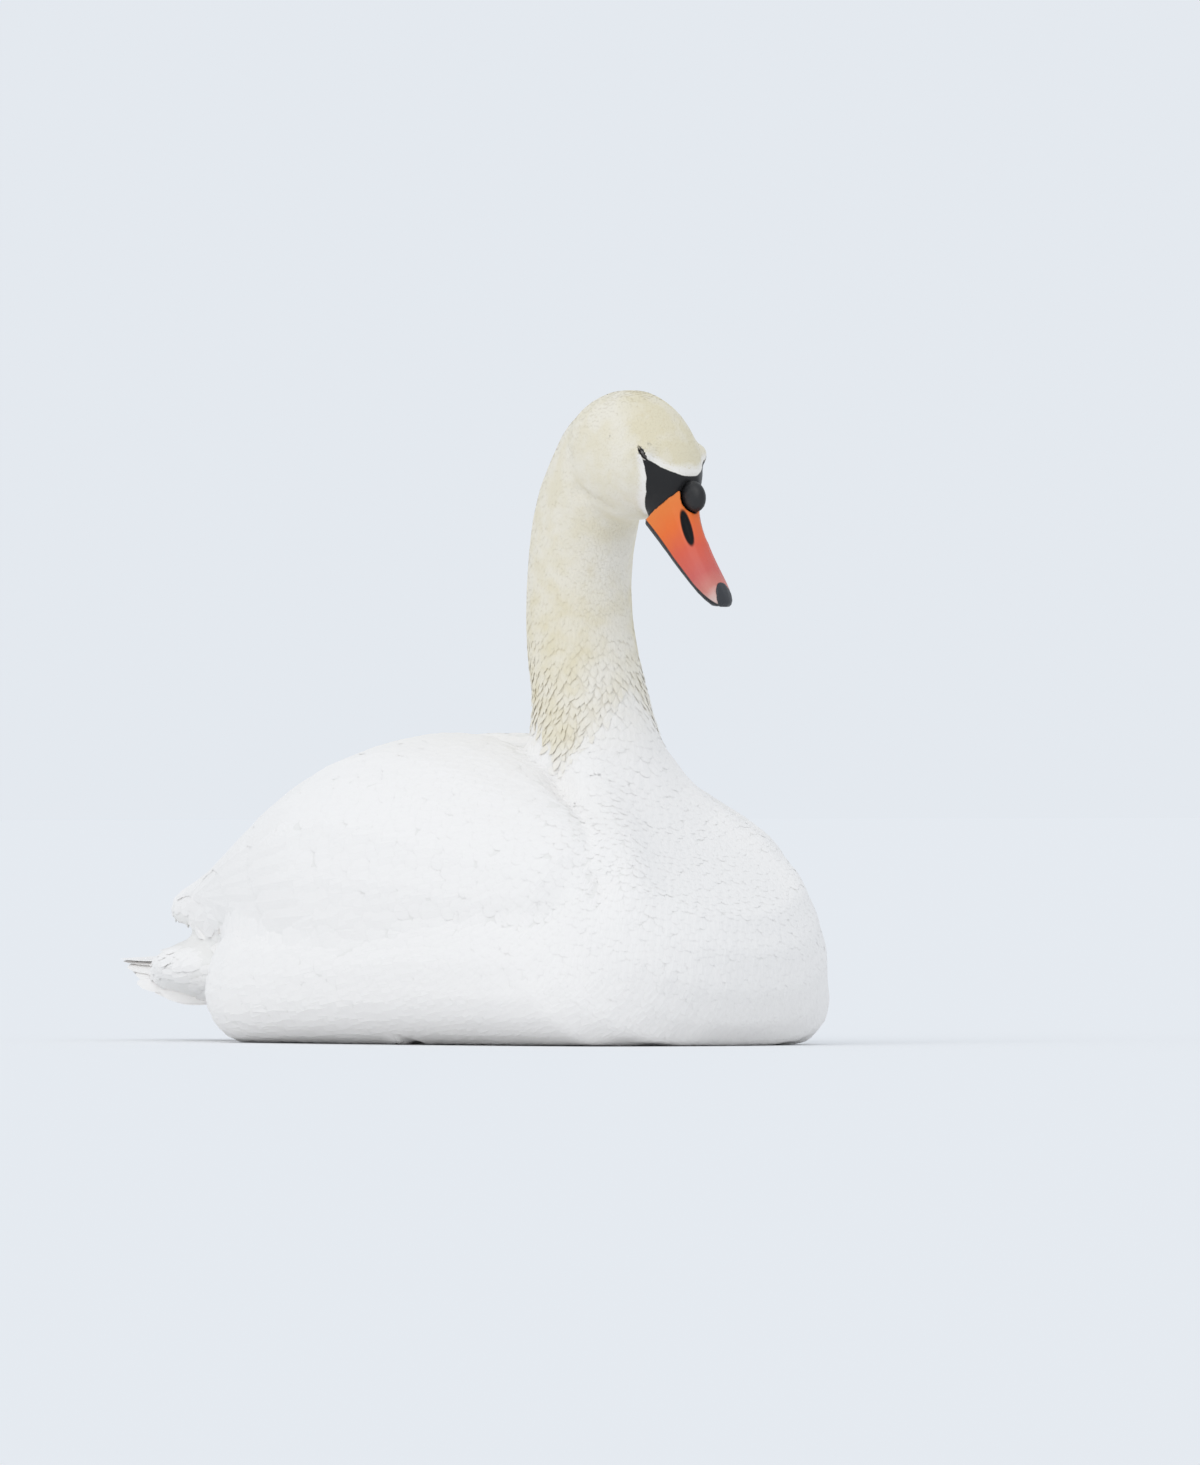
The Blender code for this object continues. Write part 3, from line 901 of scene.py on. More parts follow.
# %% Helpers for node trees
class Tree:
    """Small helpers that make a node tree read like a formula."""

    def __init__(self, tree):
        self.tree = tree

    def link(self, value, socket):
        """Links an output to an input, or sets the input to a plain value."""
        if isinstance(value, bpy.types.NodeSocket):
            self.tree.links.new(value, socket)
        else:
            socket.default_value = value

    def node(self, kind, inputs=(), **settings):
        made = self.tree.nodes.new(kind)
        for name, value in settings.items():
            setattr(made, name, value)
        for key, value in dict(inputs).items():
            self.link(value, made.inputs[key])
        return made

    def attribute(self, name, kind="FLOAT"):
        made = self.node("GeometryNodeInputNamedAttribute", {"Name": name}, data_type=kind)
        return next(s for s in made.outputs if s.enabled and s.name == "Attribute")

    def mix(self, kind, factor, one, two):
        """A mix of two vectors or colours."""
        made = self.node("ShaderNodeMix", data_type=kind)
        for name, value in (("Factor", factor), ("A", one), ("B", two)):
            self.link(value, open_socket(made.inputs, name))
        return next(s for s in made.outputs if s.enabled)

    def maths(self, operation, one, two=0.0):
        return self.node("ShaderNodeMath", {0: one, 1: two}, operation=operation).outputs[0]

    def vector(self, operation, one, two=(0.0, 0.0, 0.0)):
        return self.node("ShaderNodeVectorMath", {0: one, 1: two}, operation=operation).outputs[0]

    def scaled(self, vector, factor):
        made = self.node("ShaderNodeVectorMath", {0: vector, "Scale": factor}, operation="SCALE")
        return made.outputs[0]


def open_socket(sockets, name):
    """The socket of that name that the node's settings leave in use."""
    return next(s for s in sockets if s.enabled and s.name == name)


def new_group(name, kind, inputs, outputs):
    """A node group with sockets from (label, kind) and (label, kind, value) rows, and its two ends."""
    group = bpy.data.node_groups.new(name, kind)
    for in_out, rows in (("INPUT", inputs), ("OUTPUT", outputs)):
        for label, socket_kind, *value in rows:
            socket_type = "NodeSocket" + socket_kind
            socket = group.interface.new_socket(name=label, in_out=in_out, socket_type=socket_type)
            if value:
                socket.default_value = value[0]
    tree = Tree(group)
    return group, tree, tree.node("NodeGroupInput").outputs, tree.node("NodeGroupOutput").inputs


print("Helpers:", ", ".join(name for name in vars(Tree) if not name.startswith("_")))


# %% A tree that lays feathers
LOWEST_FEATHER = 0.0004


def feather_tree():
    inputs = [("Roots", "Geometry"), ("Vane", "Object"), ("Form", "Object")]
    inputs += [("Press", "Float"), ("Patch", "Float"), ("Finish", "Material")]
    group, tree, given, end = new_group("lay feathers", "GeometryNodeTree", inputs, [("Coat", "Geometry")])
    vane_mesh = tree.node("GeometryNodeObjectInfo", {"Object": given["Vane"]}).outputs["Geometry"]
    form_mesh = tree.node("GeometryNodeObjectInfo", {"Object": given["Form"]}).outputs["Geometry"]

    upright = tree.node(
        "FunctionNodeAlignRotationToVector", {"Vector": tree.attribute("out", "FLOAT_VECTOR")}, axis="Z"
    )
    turned = tree.node(
        "FunctionNodeAlignRotationToVector",
        {"Rotation": upright.outputs[0], "Vector": tree.attribute("flow", "FLOAT_VECTOR")},
        axis="Y",
        pivot_axis="Z",
    )
    placed = tree.node(
        "GeometryNodeInstanceOnPoints",
        {
            "Points": given["Roots"],
            "Instance": vane_mesh,
            "Rotation": turned.outputs[0],
            "Scale": tree.attribute("span", "FLOAT_VECTOR"),
        },
    )
    real = tree.node("GeometryNodeRealizeInstances", {"Geometry": placed.outputs[0]}).outputs[0]

    here = tree.node("GeometryNodeInputPosition").outputs[0]
    nearest = tree.node("GeometryNodeProximity", {0: form_mesh}, target_element="FACES")
    tree.link(here, open_socket(nearest.inputs, "Sample Position"))
    surface = tree.node("GeometryNodeSampleNearestSurface", {0: form_mesh}, data_type="FLOAT_VECTOR")
    tree.link(tree.attribute("out", "FLOAT_VECTOR"), open_socket(surface.inputs, "Value"))
    tree.link(here, open_socket(surface.inputs, "Sample Position"))
    form_out = open_socket(surface.outputs, "Value")
    base = tree.mix("VECTOR", given["Press"], here, nearest.outputs["Position"])
    mixed_out = tree.mix("VECTOR", given["Press"], tree.attribute("out", "FLOAT_VECTOR"), form_out)
    out = tree.vector("NORMALIZE", mixed_out)
    leaf = tree.node("ShaderNodeSeparateXYZ", {0: tree.attribute("leaf", "FLOAT_VECTOR")}).outputs
    to_root = tree.maths("SUBTRACT", 1.0, leaf[1])
    sunk = tree.maths("MULTIPLY", tree.attribute("sunk"), tree.maths("POWER", to_root, 4.0))
    rise = tree.maths("MULTIPLY", tree.attribute("rise"), tree.maths("POWER", leaf[1], 2.0))
    ridge = tree.maths("MULTIPLY", tree.attribute("ridge"), leaf[2])
    edgeward = tree.maths("POWER", tree.maths("ABSOLUTE", leaf[0]), 2.0)
    arch = tree.maths("MULTIPLY", tree.attribute("arch"), edgeward)
    height = tree.maths("ADD", tree.maths("SUBTRACT", rise, sunk), tree.maths("SUBTRACT", ridge, arch))
    moved = tree.vector("ADD", base, tree.scaled(out, height))
    part = tree.node("ShaderNodeSeparateXYZ", {0: moved}).outputs
    above = tree.maths("MAXIMUM", part[2], LOWEST_FEATHER)
    lifted = tree.node("ShaderNodeCombineXYZ", {0: part[0], 1: part[1], 2: above}).outputs[0]
    shaped = tree.node("GeometryNodeSetPosition", {"Geometry": real, "Position": lifted}).outputs[0]

    half_across = tree.maths("MULTIPLY", leaf[0], 0.5)
    half_along = tree.maths("SUBTRACT", leaf[1], 0.5)
    local = tree.node("ShaderNodeCombineXYZ", {0: half_across, 1: half_along})
    patch = tree.scaled(local.outputs[0], given["Patch"])
    mapped = tree.vector("ADD", tree.attribute("place", "FLOAT_VECTOR"), patch)
    stored = tree.node(
        "GeometryNodeStoreNamedAttribute", {0: shaped, "Name": "OFBake"}, data_type="FLOAT2", domain="CORNER"
    )
    tree.link(mapped, open_socket(stored.inputs, "Value"))
    finished = tree.node(
        "GeometryNodeSetMaterial", {"Geometry": stored.outputs[0], "Material": given["Finish"]}
    )
    tree.link(finished.outputs[0], end[0])
    return group


lay_feathers = feather_tree()
items = lay_feathers.interface.items_tree
sockets = {item.name: item.identifier for item in items if item.in_out == "INPUT"}
store(form, "out", "FLOAT_VECTOR", form_normals)
print("The tree has", len(lay_feathers.nodes), "nodes and inputs", ", ".join(sockets))


# %% Lay one coat
PATCH = 0.003  # how wide each feather is on the unwrap
VECTOR_FIELDS = ("out", "flow", "span", "place")
NUMBER_FIELDS = ("sunk", "rise", "ridge", "arch")


def lay(name, kind, roots, finish, press=1.0):
    """One piece of plumage: a vane on every root, pressed onto the form."""
    count = len(roots["at"])
    mesh = bpy.data.meshes.new(name)
    mesh.from_pydata(roots["at"].tolist(), [], [])
    made = bpy.data.objects.new(name, mesh)
    scene.collection.objects.link(made)
    span = np.stack([roots["width"] / 2, roots["length"], np.ones(count)], axis=1)
    place = np.concatenate([roots["place"], np.zeros((count, 1))], axis=1)
    fields = {**roots, "span": span, "place": place}
    for label in VECTOR_FIELDS:
        store(made, label, "FLOAT_VECTOR", fields[label])
    for label in (*NUMBER_FIELDS, "stain"):
        store(made, label, "FLOAT", fields[label])
    step = made.modifiers.new("lay feathers", "NODES")
    step.node_group = lay_feathers
    settings = {"Vane": vanes[kind], "Form": form, "Press": press, "Patch": PATCH, "Finish": finish}
    for label, value in settings.items():
        step[sockets[label]] = value
    apply_modifiers(made)
    for label in VECTOR_FIELDS + NUMBER_FIELDS:
        old = made.data.attributes.get(label)
        if old:
            made.data.attributes.remove(old)
    print(name, "has", count, "feathers and", count_triangles(made), "triangles")
    return made


print("A coat takes the fields", ", ".join(VECTOR_FIELDS + NUMBER_FIELDS))


# %% [markdown]
# ## Finishes
# Plumage is a rough, slightly velvety white. One group tints it by the stored stain with a little mottling,
# and another draws the barbs that run slantwise from a feather's midrib; skin and feathers share the first.

# %% Shader groups
ANY_COLOUR = (1, 1, 1, 1)


def noise(tree, scale, detail=3.0):
    source = tree.node("ShaderNodeTexCoord").outputs["Object"]
    made = tree.node("ShaderNodeTexNoise", {"Scale": scale, "Detail": detail, "Vector": source})
    return made.outputs["Fac"]


def remap(tree, value, low, high, to_low=0.0, to_high=1.0):
    made = tree.node("ShaderNodeMapRange", {0: value, 1: low, 2: high, 3: to_low, 4: to_high})
    made.interpolation_type = "SMOOTHSTEP"
    return made.outputs[0]


def read(tree, name, output="Fac"):
    return tree.node("ShaderNodeAttribute", attribute_name=name).outputs[output]


tint, tree, given, end = new_group(
    "plumage tint",
    "ShaderNodeTree",
    [("Clean", "Color", ANY_COLOUR), ("Stained", "Color", ANY_COLOUR), ("Mottle", "Float", 0.3)],
    [("Color", "Color")],
)
patches = remap(tree, noise(tree, 55.0), 0.35, 0.70)
spread = tree.maths("MULTIPLY", given["Mottle"], tree.maths("SUBTRACT", patches, 0.5))
amount = tree.maths("MULTIPLY", read(tree, "stain"), tree.maths("ADD", 1.0, spread))
clamped = tree.node("ShaderNodeClamp", {0: amount}).outputs[0]
tree.link(tree.mix("RGBA", clamped, given["Clean"], given["Stained"]), end["Color"])

barbs, tree, given, end = new_group(
    "barbs", "ShaderNodeTree", [("Count", "Float", 26.0), ("Slant", "Float", 0.5)], [("Height", "Float")]
)
leaf = tree.node("ShaderNodeSeparateXYZ", {0: read(tree, "leaf", "Vector")}).outputs
across = tree.maths("ABSOLUTE", leaf[0])
phase = tree.maths("SUBTRACT", leaf[1], tree.maths("MULTIPLY", across, given["Slant"]))
line = tree.maths("SINE", tree.maths("MULTIPLY", phase, tree.maths("MULTIPLY", given["Count"], 6.283)))
rib = remap(tree, across, 0.0, 0.10, 1.0, 0.0)
tree.link(tree.maths("ADD", tree.maths("MULTIPLY", line, 0.35), rib), end["Height"])
print("Shader groups:", tint.name, "and", barbs.name)


# %% Materials
def material(name, **settings):
    made = bpy.data.materials.new(name)
    made.use_nodes = True
    shader = made.node_tree.nodes["Principled BSDF"]
    for label, value in settings.items():
        shader.inputs[label.replace("_", " ")].default_value = value
    return made, Tree(made.node_tree), shader


def bump(tree, shader, height, strength, distance):
    made = tree.node("ShaderNodeBump", {"Height": height, "Strength": strength, "Distance": distance})
    tree.link(made.outputs[0], shader.inputs["Normal"])


def tinted(tree, clean, stained, **settings):
    """The plumage tint between two colours."""
    inputs = {"Clean": clean, "Stained": stained, **settings}
    return tree.node("ShaderNodeGroup", inputs, node_tree=tint).outputs[0]


WHITE = (0.925, 0.900, 0.875, 1)
CREAM = (0.785, 0.715, 0.530, 1)
SKIN_WHITE = (0.88, 0.86, 0.83, 1)
SKIN_CREAM = (0.77, 0.69, 0.50, 1)
BLACK = (0.012, 0.012, 0.013, 1)


def plumage(name, count, strength, distance):
    made, tree, shader = material(
        name, Roughness=0.80, Sheen_Weight=0.10, Sheen_Roughness=0.6, Specular_IOR_Level=0.25
    )
    tree.link(tinted(tree, WHITE, CREAM, Mottle=0.4), shader.inputs["Base Color"])
    lines = tree.node("ShaderNodeGroup", {"Count": count}, node_tree=barbs)
    bump(tree, shader, lines.outputs[0], strength, distance)
    return made


small_plumage = plumage("small feathers", 5.0, 0.15, 0.0002)
body_plumage = plumage("body feathers", 14.0, 0.20, 0.0003)
flight_plumage = plumage("flight feathers", 70.0, 0.25, 0.0003)

skin_finish, tree, shader = material(
    "feathered skin", Roughness=0.75, Sheen_Weight=0.1, Specular_IOR_Level=0.3
)
ragged = tree.maths("ADD", read(tree, "bare"), tree.maths("MULTIPLY", noise(tree, 900.0), 0.5))
edge = remap(tree, ragged, -0.1, 0.3)
skin_colour = tree.mix("RGBA", edge, tinted(tree, SKIN_WHITE, SKIN_CREAM), BLACK)
tree.link(skin_colour, shader.inputs["Base Color"])
tree.link(remap(tree, edge, 0.0, 1.0, 0.8, 0.50), shader.inputs["Roughness"])
bump(tree, shader, noise(tree, 1400.0, 2.0), 0.25, 0.0003)
made_here = (small_plumage, body_plumage, flight_plumage, skin_finish)
print("Materials:", ", ".join(made.name for made in made_here))


# %% [markdown]
# ## The small plumage
# Head, neck and body take their roots from the one set of darts, and each becomes a piece of its own, because
# a piece with too many faces is thinned when it is exported. The feathers are narrow and pointed on the neck,
# where they stand a little on end, and broad and flat on the body.

# %% Dress the roots
WIDTH_SHARE = 0.72  # of a feather's length
MOST_TURN = 0.7
MOST_ARCH = 0.0007


def dressed(roots, chosen):
    """The chosen roots with the size, turn and lift of their feathers."""
    picked = {key: value[chosen] for key, value in roots.items()}
    at, zones = picked["at"], picked["zone"]
    count = len(at)
    standing = ruffle(at)
    loose = vent(at)
    size = length(at, zones) * random.uniform(0.85, 1.15, count)
    lie = flow(at, picked["out"])
    sideways = np.cross(picked["out"], lie)
    yaw = random.normal(0.0, 1.0, count) * (0.07 + 0.22 * standing + 0.12 * loose)
    picked["flow"] = unit(lie + sideways * np.tan(np.clip(yaw, -MOST_TURN, MOST_TURN))[:, None])
    picked["length"] = size
    picked["width"] = size * WIDTH_SHARE * (1 - 0.35 * standing) * (1 - 0.40 * loose)
    picked["sunk"] = depth(at, zones)
    lift = random.uniform(0.0, 1.0, count)
    flat_rise = 0.00002 + 0.003 * np.clip(size - 0.006, 0.0, None)
    picked["rise"] = flat_rise + standing * (0.0003 + 0.0015 * lift) + loose * 0.0022 * lift
    picked["ridge"] = 0.004 * size + 0.00004 + 0.0002 * standing
    hollow_arch = 0.14 * picked["bend"] * picked["width"] ** 2
    picked["arch"] = 0.012 * size + np.minimum(hollow_arch, MOST_ARCH)
    picked["stain"] = stain(at)
    return picked


print("A feather is up to", WIDTH_SHARE, "times as wide as it is long")


# %% Lay the small plumage
height = roots["at"][:, 2]
from_bill = np.linalg.norm(roots["at"] - BILL_CENTRE, axis=1)
on_wing = roots["zone"] >= LEFT_WING
face = (from_bill < HEAD_REACH) & (height > 0.33)
left_half = roots["at"][:, 0] > 0
on_neck = ~face & ((height > 0.250) | (collar(roots["at"]) > 0.3)) & ~on_wing
on_trunk = ~face & ~on_neck & ~on_wing
ahead = roots["at"][:, 1] < -0.10
coat = {
    "plumage_head_left": ("down", face & left_half, small_plumage),
    "plumage_head_right": ("down", face & ~left_half, small_plumage),
    "plumage_neck": ("lance", on_neck, small_plumage),
    "plumage_breast": ("contour", on_trunk & ahead, body_plumage),
    "plumage_rump_and_flanks": ("contour", on_trunk & ~ahead, body_plumage),
    "coverts_left": ("contour", roots["zone"] == LEFT_WING, body_plumage),
    "coverts_right": ("contour", roots["zone"] == RIGHT_WING, body_plumage),
}
coats = {}
for name, (kind, chosen, finish) in coat.items():
    coats[name] = lay(name, kind, dressed(roots, chosen), finish)


# %% [markdown]
# ## Flight feathers
# Behind the coverts the long secondaries and primaries lie one over the other and close to a point above the
# tail. Each is laid between two places on the wing's outer face, given by the distance back along the bird and
# the share of the way from the wing's upper edge to its lower one.

# %% Places on the wing and on the map
form_tree = BVHTree.FromPolygons(form_points.tolist(), [p.vertices[:] for p in form.data.polygons])


def map_place(at):
    """The unwrap's place nearest to a point."""
    face = form_tree.find_nearest(Vector(at))[2]
    first = form.data.polygons[face].loop_start
    return map_places[first]


def wing_place(name, back, share):
    """The place on the wing's outer face at that distance back and share of the way down."""
    backs, *edges, _ = (np.array(column) for column in zip(*edges_of[name]))
    top, low = (np.array([np.interp(back, backs, edge[:, axis]) for axis in range(3)]) for edge in edges)
    sign = 1.0 if name == "wing_left" else -1.0
    run = low - top
    outward = np.array([sign * -run[2], 0.0, abs(run[0])])
    probe = top + run * share + outward / np.linalg.norm(outward) * 0.05
    return np.array(node_trees[name].find_nearest(Vector(probe))[0])


def as_roots(rows):
    """Rows that each describe one long feather as a dictionary of arrays."""
    made = {key: np.array([row[key] for row in rows]) for key in rows[0]}
    made["flow"] = unit(made["flow"])
    made["out"] = unit(made["out"])
    made["stain"] = np.zeros(len(rows))
    made["place"] = np.array([map_place(at) for at in made["at"]])
    return made


print("The left wing's middle is at", wing_place("wing_left", 0.0, 0.5).round(3))


# %% Long feathers of the wing
def long_feathers(name, count, roots_back, tips_back, root_shares, tip_shares, width):
    rows = []
    for number in range(count):
        t = number / (count - 1)
        start = wing_place(name, np.interp(t, (0, 1), roots_back), np.interp(t, (0, 1), root_shares))
        end = wing_place(name, np.interp(t, (0, 1), tips_back), np.interp(t, (0, 1), tip_shares))
        centre = form_tree.find_nearest(Vector((start + end) / 2))
        sizes = {"length": np.linalg.norm(end - start), "width": width}
        heights = {"sunk": 0.0030, "rise": 0.0009 + 0.0003 * (number % 2), "ridge": 0.0004, "arch": 0.0008}
        rows.append({"at": centre[0], "out": centre[1], "flow": end - start, **sizes, **heights})
    return rows


ROWS = (
    # count, roots back, tips back, root shares, tip shares, width
    (12, (-0.060, 0.020), (0.060, 0.150), (0.86, 0.06), (0.92, 0.10), 0.030),
    (11, (0.010, 0.060), (0.140, 0.235), (0.88, 0.05), (0.90, 0.15), 0.034),
    (8, (0.080, 0.110), (0.215, 0.290), (0.92, 0.10), (0.85, 0.30), 0.030),
)


for side in ("left", "right"):
    rows = [feather for row in ROWS for feather in long_feathers("wing_" + side, *row)]
    name = "flight_feathers_" + side
    coats[name] = lay(name, "flight", as_roots(rows), flight_plumage)


# %% [markdown]
# ## The tail
# The tail is a low roof of overlapping feathers, the middle pair on top. They aren't pressed onto the form but
# stand free, so the same tree lays them with `Press` at zero. Each fan is set by a handful of sizes, and every
# feather is arched by as much as the roof drops over its width, so that its edges lie on its neighbours. The
# last fan gives the folded wings their pointed tips.

# %% Tail feathers and wing tips
TAIL_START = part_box("tail")[0][1]
RAGGED = 0.07
MOST_ROOF_ARCH = 0.0070
FANS = (
    # count, start, length, height at the root, roof drop, pitch, root half width, width, spread
    (17, 0.020, 0.194, 0.0705, 0.0180, -0.048, 0.034, 0.038, 6.0),
    (14, 0.024, 0.184, 0.0690, 0.0180, -0.050, 0.034, 0.038, 7.0),
    (7, 0.032, 0.132, 0.1500, 0.0180, -0.400, 0.018, 0.030, -3.0),
)


def fan(count, start, size, height, drop, pitch, half_width, width, spread):
    """Free feathers in a fan round the bird's middle line, the middle ones on top."""
    rows = []
    order = sorted(range(count), key=lambda j: -abs(j - (count - 1) / 2))
    for layer, j in enumerate(order):
        across = 2 * j / (count - 1) - 1
        bearing = math.radians(spread) * across + random.normal(0.0, 0.4 * RAGGED)
        reach = size * (1 - 0.40 * across**2) * (1 - RAGGED * random.random())
        rise = height - drop * across**2 + 0.0001 * layer
        place = {
            "at": (half_width * across, TAIL_START + start, rise),
            "out": (2 * drop / half_width * across, -pitch, 1.0),
            "flow": (math.sin(bearing), math.cos(bearing), pitch),
        }
        arch = min(drop * (width / 2 / half_width) ** 2, MOST_ROOF_ARCH)
        heights = {"sunk": 0.0, "rise": 0.0, "ridge": 0.0005, "arch": arch}
        rows.append({**place, "length": reach, "width": width, **heights})
    return rows


fans = as_roots([feather for row in FANS for feather in fan(*row)])
coats["tail_feathers"] = lay("tail_feathers", "quill", fans, flight_plumage, press=0.0)


# %% [markdown]
# ## The bill
# The bill is horn over bone: a long upper half that laps over the lower one, a hard hooked nail at the tip and
# a knob at the root. A fine remesh rounds the solids of the frame, and attributes along the bill carry the
# colours, with painted shade inside the nostril and a painted highlight near the tip.

# %% Bill, knob and nail
def fine_copy(name, source, size, rounds, factors=(1, 1, 1)):
    """A fine, rounded copy of a node, scaled about its own middle."""
    made = remesh(joined_copy(name, (source,)), size)
    smooth(made, rounds)
    points = points_of(made)
    centre = (points.min(axis=0) + points.max(axis=0)) / 2
    set_points(made, centre + (points - centre) * np.array(factors))
    made.data.shade_smooth()
    print(name, "has", len(made.data.polygons), "faces")
    return made


bill_upper = fine_copy("upper_bill", "bill_upper", 0.0009, 8)
bill_lower = fine_copy("lower_bill", "bill_lower", 0.0009, 6)
nail = fine_copy("nail", "bill_nail", 0.0007, 6, (1.15, 1.12, 1.12))
knob = fine_copy("knob", "bill_knob", 0.0010, 6, (0.74, 0.96, 0.96))


# %% Measures of the upper bill
BILL_TIP = 0.1560
# The nostril's oval: inside it the horn is painted black as painted shade in the opening.
NOSTRIL_ALONG, NOSTRIL_SIDE, NOSTRIL_CROWN = 0.0878, 0.0088, 0.0235
NOSTRIL_SLOPE = 0.25
NOSTRIL_LENGTH, NOSTRIL_WIDTH, NOSTRIL_HEIGHT = 0.0150, 0.0040, 0.0046
SADDLE_START, SADDLE_REACH, SADDLE_WIDTH = 0.0600, 0.0190, 0.0074
TO_MM = 1000
along, side, crown = head_axes(points_of(bill_upper))
cutting_edge = np.interp(along, (0.060, 0.100, 0.130, 0.1545), (-0.0015, 0.0018, 0.0066, 0.0125))
beyond = along - NOSTRIL_ALONG
beside = np.abs(side) - NOSTRIL_SIDE
over = crown - NOSTRIL_CROWN + NOSTRIL_SLOPE * beyond
pit = (beyond / NOSTRIL_LENGTH) ** 2 + (beside / NOSTRIL_WIDTH) ** 2 + (over / NOSTRIL_HEIGHT) ** 2
saddle = np.hypot((along - SADDLE_START) / SADDLE_REACH, side / SADDLE_WIDTH)
store(bill_upper, "run", "FLOAT", (along - BILL_ROOT) / (BILL_TIP - BILL_ROOT))
store(bill_upper, "above_edge", "FLOAT", (crown - cutting_edge) * TO_MM)
store(bill_upper, "pit", "FLOAT", np.sqrt(pit))
store(bill_upper, "saddle", "FLOAT", np.where(crown > 0.020, saddle, FAR))
print("The nostril's pit takes", int((pit < 1).sum()), "points")


# %% Horn and bare skin
# The horn's colours from root to tip, orange to red; the paling to pale pink over the last two stops is a
# painted highlight.
HORN_COLOURS_AND_TIP_HIGHLIGHT = [
    (0.00, (0.84, 0.23, 0.035)),
    (0.25, (0.85, 0.155, 0.016)),
    (0.48, (0.72, 0.105, 0.050)),
    (0.72, (0.62, 0.115, 0.095)),
    (0.88, (0.62, 0.22, 0.18)),
    (0.97, (0.70, 0.50, 0.45)),
]


def finish_with(made, finish):
    made.data.materials.clear()
    made.data.materials.append(finish)


def dark_finish(name, colour, roughness, bump_scale, bump_detail, bump_strength, **settings):
    """A black material of uneven sheen."""
    made, tree, shader = material(name, Base_Color=colour, **settings)
    tree.link(remap(tree, noise(tree, 300.0), 0.3, 0.7, *roughness), shader.inputs["Roughness"])
    bump(tree, shader, noise(tree, bump_scale, bump_detail), bump_strength, 0.0004)
    return made


horn, tree, shader = material("orange horn", Roughness=0.45, Coat_Weight=0.08, Coat_Roughness=0.35)
uneven = tree.maths("MULTIPLY", noise(tree, 120.0), 0.08)
ramp = tree.node("ShaderNodeValToRGB", {0: tree.maths("ADD", read(tree, "run"), uneven)})
for number, (at, colour) in enumerate(HORN_COLOURS_AND_TIP_HIGHLIGHT):
    stop = ramp.color_ramp.elements[number] if number < 2 else ramp.color_ramp.elements.new(at)
    stop.position = at
    stop.color = (*colour, 1)
# Painted shade: the nostril's opening is painted black with a rougher, duller finish, and it joins the real
# black of the cutting edge and the saddle.
nostril_shade = remap(tree, read(tree, "pit"), 0.85, 1.10, 1.0, 0.0)
at_edge = remap(tree, read(tree, "above_edge"), 0.3, 1.1, 1.0, 0.0)
on_saddle = remap(tree, read(tree, "saddle"), 0.96, 1.04, 1.0, 0.0)
dark = tree.maths("MAXIMUM", tree.maths("MAXIMUM", nostril_shade, at_edge), on_saddle)
tree.link(tree.mix("RGBA", dark, ramp.outputs[0], BLACK), shader.inputs["Base Color"])
tree.link(remap(tree, nostril_shade, 0.0, 1.0, 0.45, 0.85), shader.inputs["Roughness"])
tree.link(remap(tree, nostril_shade, 0.0, 1.0, 0.50, 0.15), shader.inputs["Specular IOR Level"])
bump(tree, shader, noise(tree, 700.0, 2.0), 0.12, 0.0004)
black_horn = dark_finish(
    "black horn", (0.022, 0.024, 0.030, 1), (0.30, 0.45), 500.0, 2.0, 0.15, Coat_Weight=0.2
)
bare_black = dark_finish("bare black skin", BLACK, (0.38, 0.55), 900.0, 3.0, 0.3)
finishes = ((bill_upper, horn), (bill_lower, black_horn), (nail, black_horn), (knob, bare_black))
for made, finish in (*finishes, (skin, skin_finish)):
    finish_with(made, finish)
    print(made.name, "wears", finish.name)


# %% [markdown]
# ## The eyes
# A swan's eye is a dark brown ball in a shallow socket. The lids are thin shells over it with an almond opening
# that points along the bill; here they are nearly closed, as on a drowsy bird. A loft of rings from the
# opening's edge outwards and back inside gives each pair of lids as one closed piece.

# %% Eyeballs and lids
LID_LIFT, LID_GAP = 0.0009, 0.0001
BALL_GAP = 0.0005
OPENING_HALF_LENGTH, OPENING_HALF_HEIGHT = 0.0062, 0.0015
LID_STEPS, LID_RINGS = 64, 11


def ball(name, centre, radius):
    shape = bmesh.new()
    bmesh.ops.create_uvsphere(shape, u_segments=40, v_segments=24, radius=radius)
    bmesh.ops.translate(shape, verts=shape.verts, vec=Vector(centre))
    made = new_object(name, shape)
    made.data.shade_smooth()
    return made


def lids(side):
    """Both lids of one eye: rings from the slit outwards over the ball, and back inside."""
    centre, outward, forward, upward = eye_axes(side)
    shape = bmesh.new()
    rim = shape.verts.layers.float.new("rim")
    grid = []
    outer_layers = [(layer, LID_LIFT) for layer in range(LID_RINGS)]
    for layer, lift in outer_layers + [(layer, LID_GAP) for layer, _ in reversed(outer_layers)]:
        t = layer / (LID_RINGS - 1)
        radius = EYE_RADIUS + lift
        ring = []
        for step in range(LID_STEPS):
            angle = 2 * math.pi * step / LID_STEPS
            c, s = math.cos(angle), math.sin(angle)
            almond = (OPENING_HALF_LENGTH * c, OPENING_HALF_HEIGHT * s * (1 + 0.3 * c) * (1 - 0.45 * c * c))
            edge = (0.96 * EYE_RADIUS * c, 0.96 * EYE_RADIUS * s)
            x, y = ((1 - t) * a + t * b for a, b in zip(almond, edge))
            z = math.sqrt(max(0.0, EYE_RADIUS**2 - x * x - y * y))
            spot = (forward * x + upward * y + outward * z) * radius / EYE_RADIUS
            ring.append(shape.verts.new(Vector(centre + spot)))
            ring[-1][rim] = t * (1 - 0.85 * max(0.0, c) ** 12)
        grid.append(ring)
    for low, high in zip(grid, grid[1:] + grid[:1]):
        for step in range(LID_STEPS):
            after = (step + 1) % LID_STEPS
            shape.faces.new((low[step], low[after], high[after], high[step]))
    bmesh.ops.recalc_face_normals(shape, faces=shape.faces)
    made = new_object("eyelids_" + side, shape)
    made.data.shade_smooth()
    return made


